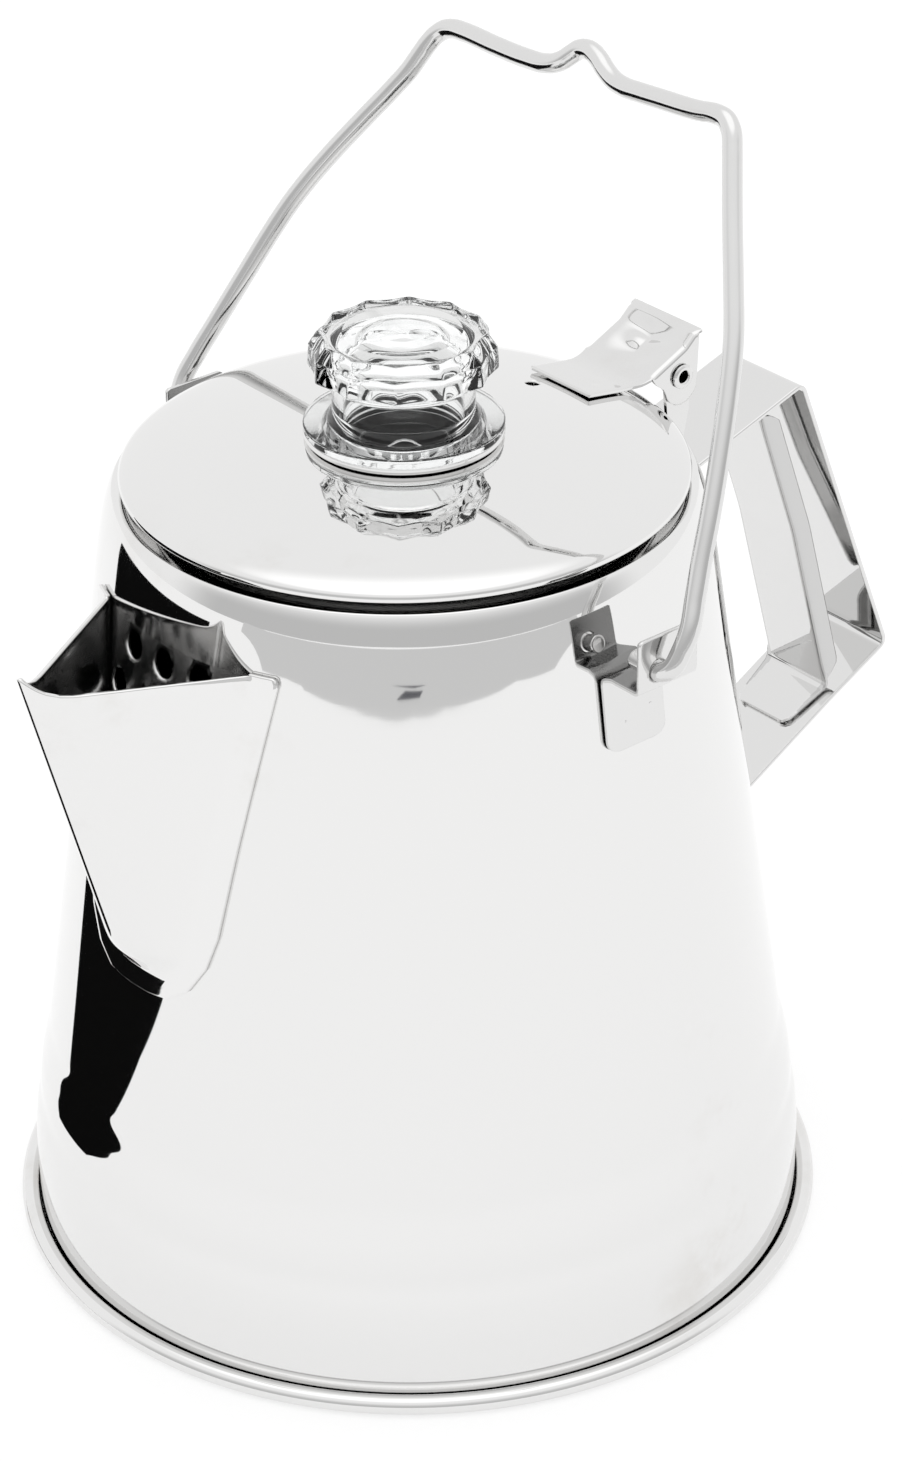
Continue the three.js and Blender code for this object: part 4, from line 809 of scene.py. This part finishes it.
def bail():
    """Bent wire: a circle of the wire's radius carried along a smooth line in the bail's leaning plane. The
    circle stands on the plane's normal and on the line's own normal, and shrinks to a point at both ends."""
    line = curve(BAIL_LINE, 520)
    tangent = unit(np.gradient(line, axis=0))
    lean = math.radians(BAIL_LEAN)
    up = np.array([math.sin(lean), 0, math.cos(lean)])
    out = np.array([math.cos(lean), 0, -math.sin(lean)])
    centre = line[:, :1] * np.array([0, 1, 0]) + line[:, 1:] * up + np.array([BAIL_PIVOT[0], 0, BAIL_PIVOT[1]])
    across = -tangent[:, 1:] * np.array([0, 1, 0]) + tangent[:, :1] * up
    cap = [0, BAIL_WIRE - 0.5, BAIL_WIRE - 0.12]
    radius = np.concatenate([cap, np.full(len(line), BAIL_WIRE), cap[::-1]])
    centre, across = [np.vstack([rows[:1]] * 3 + [rows] + [rows[-1:]] * 3) for rows in (centre, across)]
    inset = np.array([0, 0.02, 0.12])
    centre[:, 1] += np.concatenate([inset, np.zeros(len(line)), -inset[::-1]])
    a = np.radians(np.arange(0, 360, 15))[None, :, None]
    surface = centre[:, None, :] + radius[:, None, None] * (np.cos(a) * out + np.sin(a) * across[:, None, :])
    return grid(surface, wrap=True)


piece("bail", bail(), "bail", ["bail_wire"], WIRE_STEEL)

# ------------------------------------------------------------------ pump, basket and spreader

pot_floor = SHEET + GAP
piece("pump_tube", turned(rounded([
    [TUBE_RADIUS, pot_floor + 5], [TUBE_RADIUS, 199], [TUBE_RADIUS - 0.9, 199],
    [TUBE_RADIUS - 0.9, pot_floor + 5], [TUBE_RADIUS, pot_floor + 5]], 0.2), np.arange(0, 360, 6)),
    "pump", ["pump_tube"], SATIN_STEEL)


def bell():
    """Bell: a flared profile turned about Z, with four half-round notches in its rim."""
    collar = TUBE_RADIUS + GAP + SHEET
    line = stepped(rounded([
        [BELL_RADIUS, pot_floor], [BELL_RADIUS, pot_floor + 2.5], [BELL_RADIUS * 0.62, pot_floor + 8],
        [collar + 2, pot_floor + 12.8], [collar, pot_floor + 16], [collar, pot_floor + 23]], [1.5, 12, 6, 4]), 0.8)
    points, quads = turned(line, np.arange(0, 360, 1.5))
    for turn in np.radians([45, 135, 225, 315]):
        axis = (math.cos(turn), math.sin(turn), 0)
        notch = (BELL_RADIUS * axis[0], BELL_RADIUS * axis[1], pot_floor)
        points, quads = pierced(points, quads, notch, axis, 1.8, 3)
    return points, quads


piece("pump_bell", bell(), "pump", ["pump_bell"], SATIN_STEEL, SHEET)
piece("basket_stop", turned(rounded([
    [5.1, 107.7], [6.4, 107.7], [7.8, 109.3], [7.8, 111.7], [5.1, 111.7], [5.1, 107.7]], 0.3), np.arange(0, 360, 6)),
    "pump", ["basket_stop"], SATIN_STEEL)


def perforated(line, rings, height, radius):
    """Turned sheet with rings of round holes: each ring is (count, distance from the axis)."""
    points, quads = turned(line, np.arange(0, 360, 2.0))
    for index, (count, distance) in enumerate(rings):
        for turn in np.radians(360 * (np.arange(count) + 0.5 * (index % 2)) / count):
            centre = (distance * math.cos(turn), distance * math.sin(turn), height)
            points, quads = pierced(points, quads, centre, (0, 0, 1), radius, 3)
    return points, quads


sleeve = TUBE_RADIUS + 0.5
basket_line = rounded([
    [BASKET_RADIUS, BASKET_TOP], [BASKET_RADIUS, BASKET_TOP - 1.5], [BASKET_RADIUS - 1.2, BASKET_TOP - 3],
    [BASKET_RADIUS - 3, BASKET_FLOOR], [sleeve, BASKET_FLOOR], [sleeve, BASKET_FLOOR + 50]], [0.6, 0.6, 3, 1])[::-1]
piece("basket", perforated(stepped(basket_line, 0.8), [(6, 15.2), (12, 31.1)], BASKET_FLOOR, 1.6),
      "basket", ["basket"], SATIN_STEEL, 0.8)
top = BASKET_TOP + GAP
spreader_line = rounded([
    [BASKET_RADIUS + 1.4, top - 6], [BASKET_RADIUS + 1.4, top - 0.2], [BASKET_RADIUS + 0.6, top + 0.8],
    [sleeve + 6, top + 0.8], [sleeve, top + 2.4]], [0.5, 0.5, 3])
piece("spreader", perforated(stepped(spreader_line, 0.8), [(8, 16), (14, 33)], top + 0.8, 1.5),
      "spreader", ["basket_spreader"], SATIN_STEEL, 0.8)

# The hinge bracket keeps its CAD surface.
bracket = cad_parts["hinge_bracket"]
bracket.data.materials.clear()
bracket.data.materials.append(SMALL_STEEL)

# ------------------------------------------------------------------ studio


def plain(name, colour, glow=0.0):
    """Matt surface, with its own light if glow is above 0."""
    material = bpy.data.materials.new(name)
    material.use_nodes = True
    shader = material.node_tree.nodes["Principled BSDF"]
    shader.inputs["Base Color"].default_value = (*colour, 1)
    shader.inputs["Roughness"].default_value = 0.9
    shader.inputs["Specular IOR Level"].default_value = 0.0
    shader.inputs["Emission Color"].default_value = (*colour, 1)
    shader.inputs["Emission Strength"].default_value = glow
    return material


def sheet(name, corners, material, card=True):
    """Flat sheet of the studio. A card shows only in reflections and through the clear knob."""
    data = bpy.data.meshes.new(name)
    data.from_pydata((np.array(corners, float) * MM).tolist(), [], [list(range(len(corners)))])
    obj = bpy.data.objects.new(name, data)
    bpy.context.scene.collection.objects.link(obj)
    data.materials.append(material)
    if card:
        obj.visible_camera = False
        obj.visible_shadow = False
        obj.visible_diffuse = False
    return obj


def on_floor(outline, height):
    """Corners (x, y) at one height."""
    return [[x, y, height] for x, y in outline]


FLOOR_WHITE = plain("floor white", (0.45, 0.45, 0.45), 1.35)
BLACK = plain("flag black", (0.004, 0.004, 0.004))
GREY = plain("far floor grey", (0.1, 0.1, 0.1), 5.9)
DIM = plain("tripod grey", (0.05, 0.05, 0.055), 1.5)

# The white floor fills the view. Beyond a white cloth about 0.8 m around the pot, reflections see a grey floor,
# a tripod's two dark parts and a black flag that lies to the left of the pot.
CLOTH_EDGE = [[-1700, 260], [-1150, 60], [-822, -14], [-822, -139], [-796, -212], [-773, -223], [-712, -333],
              [-658, -424], [-594, -503], [-479, -620], [-363, -701], [-242, -754], [-135, -789], [-78, -812],
              [-46, -826], [149, -788], [330, -960], [620, -1500]]
FLAG = [[-98, 105], [-130, 86], [-166, 98], [-214, 111], [-275, 119], [-680, 265], [-1250, 490], [-360, 1250],
        [-136, 464], [-104, 246], [-102, 167]]
FAR = 6.0                     # the grey floor reaches this many times further than the cloth
WIDE = 6000                   # half the side of the white floor
sheet("floor", on_floor([[-WIDE, -WIDE], [WIDE, -WIDE], [WIDE, WIDE], [-WIDE, WIDE]], -0.05), FLOOR_WHITE, False)
edge = np.array(CLOTH_EDGE, float)
for i in range(len(edge) - 1):
    sheet(f"far_floor_{i}", on_floor([edge[i], edge[i + 1], edge[i + 1] * FAR, edge[i] * FAR], 0.3), GREY)
sheet("flag", on_floor(FLAG, 0.5), BLACK)
sheet("tripod_head", on_floor([[-655, -659], [-508, -776], [-545, -719]], 0.6), DIM)
sheet("tripod_post", on_floor([[-569, -674], [-497, -726], [-488, -683], [-566, -604]], 0.6), DIM)


def soft_light():
    """World: brightness by the height of the direction, from a bright overhead diffuser to the grey room behind
    the camera; the side away from the camera stays white down to the floor."""
    world = bpy.data.worlds.new("studio")
    bpy.context.scene.world = world
    world.use_nodes = True
    tree = world.node_tree
    place = tree.nodes.new("ShaderNodeTexCoord")
    apart = tree.nodes.new("ShaderNodeSeparateXYZ")
    tree.links.new(place.outputs["Generated"], apart.inputs[0])
    x, y, z = apart.outputs
    near = math_node(tree, "ADD", math_node(tree, "MULTIPLY", x, -0.64), math_node(tree, "MULTIPLY", y, -0.77))
    room = math_node(tree, "MULTIPLY", band(tree, near, -0.1, 0.35),
                     math_node(tree, "SUBTRACT", 1.0, band(tree, z, 0.2, 0.75)))
    diffuser = math_node(tree, "MULTIPLY", band(tree, z, 0.8, 0.96), 0.35)
    light = math_node(tree, "ADD", math_node(tree, "MULTIPLY_ADD", room, -0.4, 1.0), diffuser)
    tree.links.new(light, tree.nodes["Background"].inputs["Strength"])
    tree.nodes["Background"].inputs["Color"].default_value = (1, 1, 1, 1)


soft_light()

# ------------------------------------------------------------------ camera

# The camera looks down at the pot's front left from about 1.1 m, through a long lens.
EYE = [-0.5663, -0.6977, 0.64385]  # metres
LENS = 106.73
ROLL = -0.013                 # radians

forward = np.array([0.5540, 0.6673, -0.4978])
right = np.array([0.7694, -0.6388, 0.0])
up = np.array([0.3180, 0.3830, 0.8673])
right, up = math.cos(ROLL) * right + math.sin(ROLL) * up, -math.sin(ROLL) * right + math.cos(ROLL) * up
camera = bpy.data.objects.new("camera", bpy.data.cameras.new("camera"))
bpy.context.scene.collection.objects.link(camera)
camera.data.lens = LENS
camera.data.sensor_width = 36.0
camera.data.clip_start = 0.01
matrix = np.eye(4)
matrix[:3] = np.stack([right, up, -forward, EYE], 1)
camera.matrix_world = Matrix(matrix.tolist())
bpy.context.scene.camera = camera
bpy.context.scene.view_settings.view_transform = "Standard"
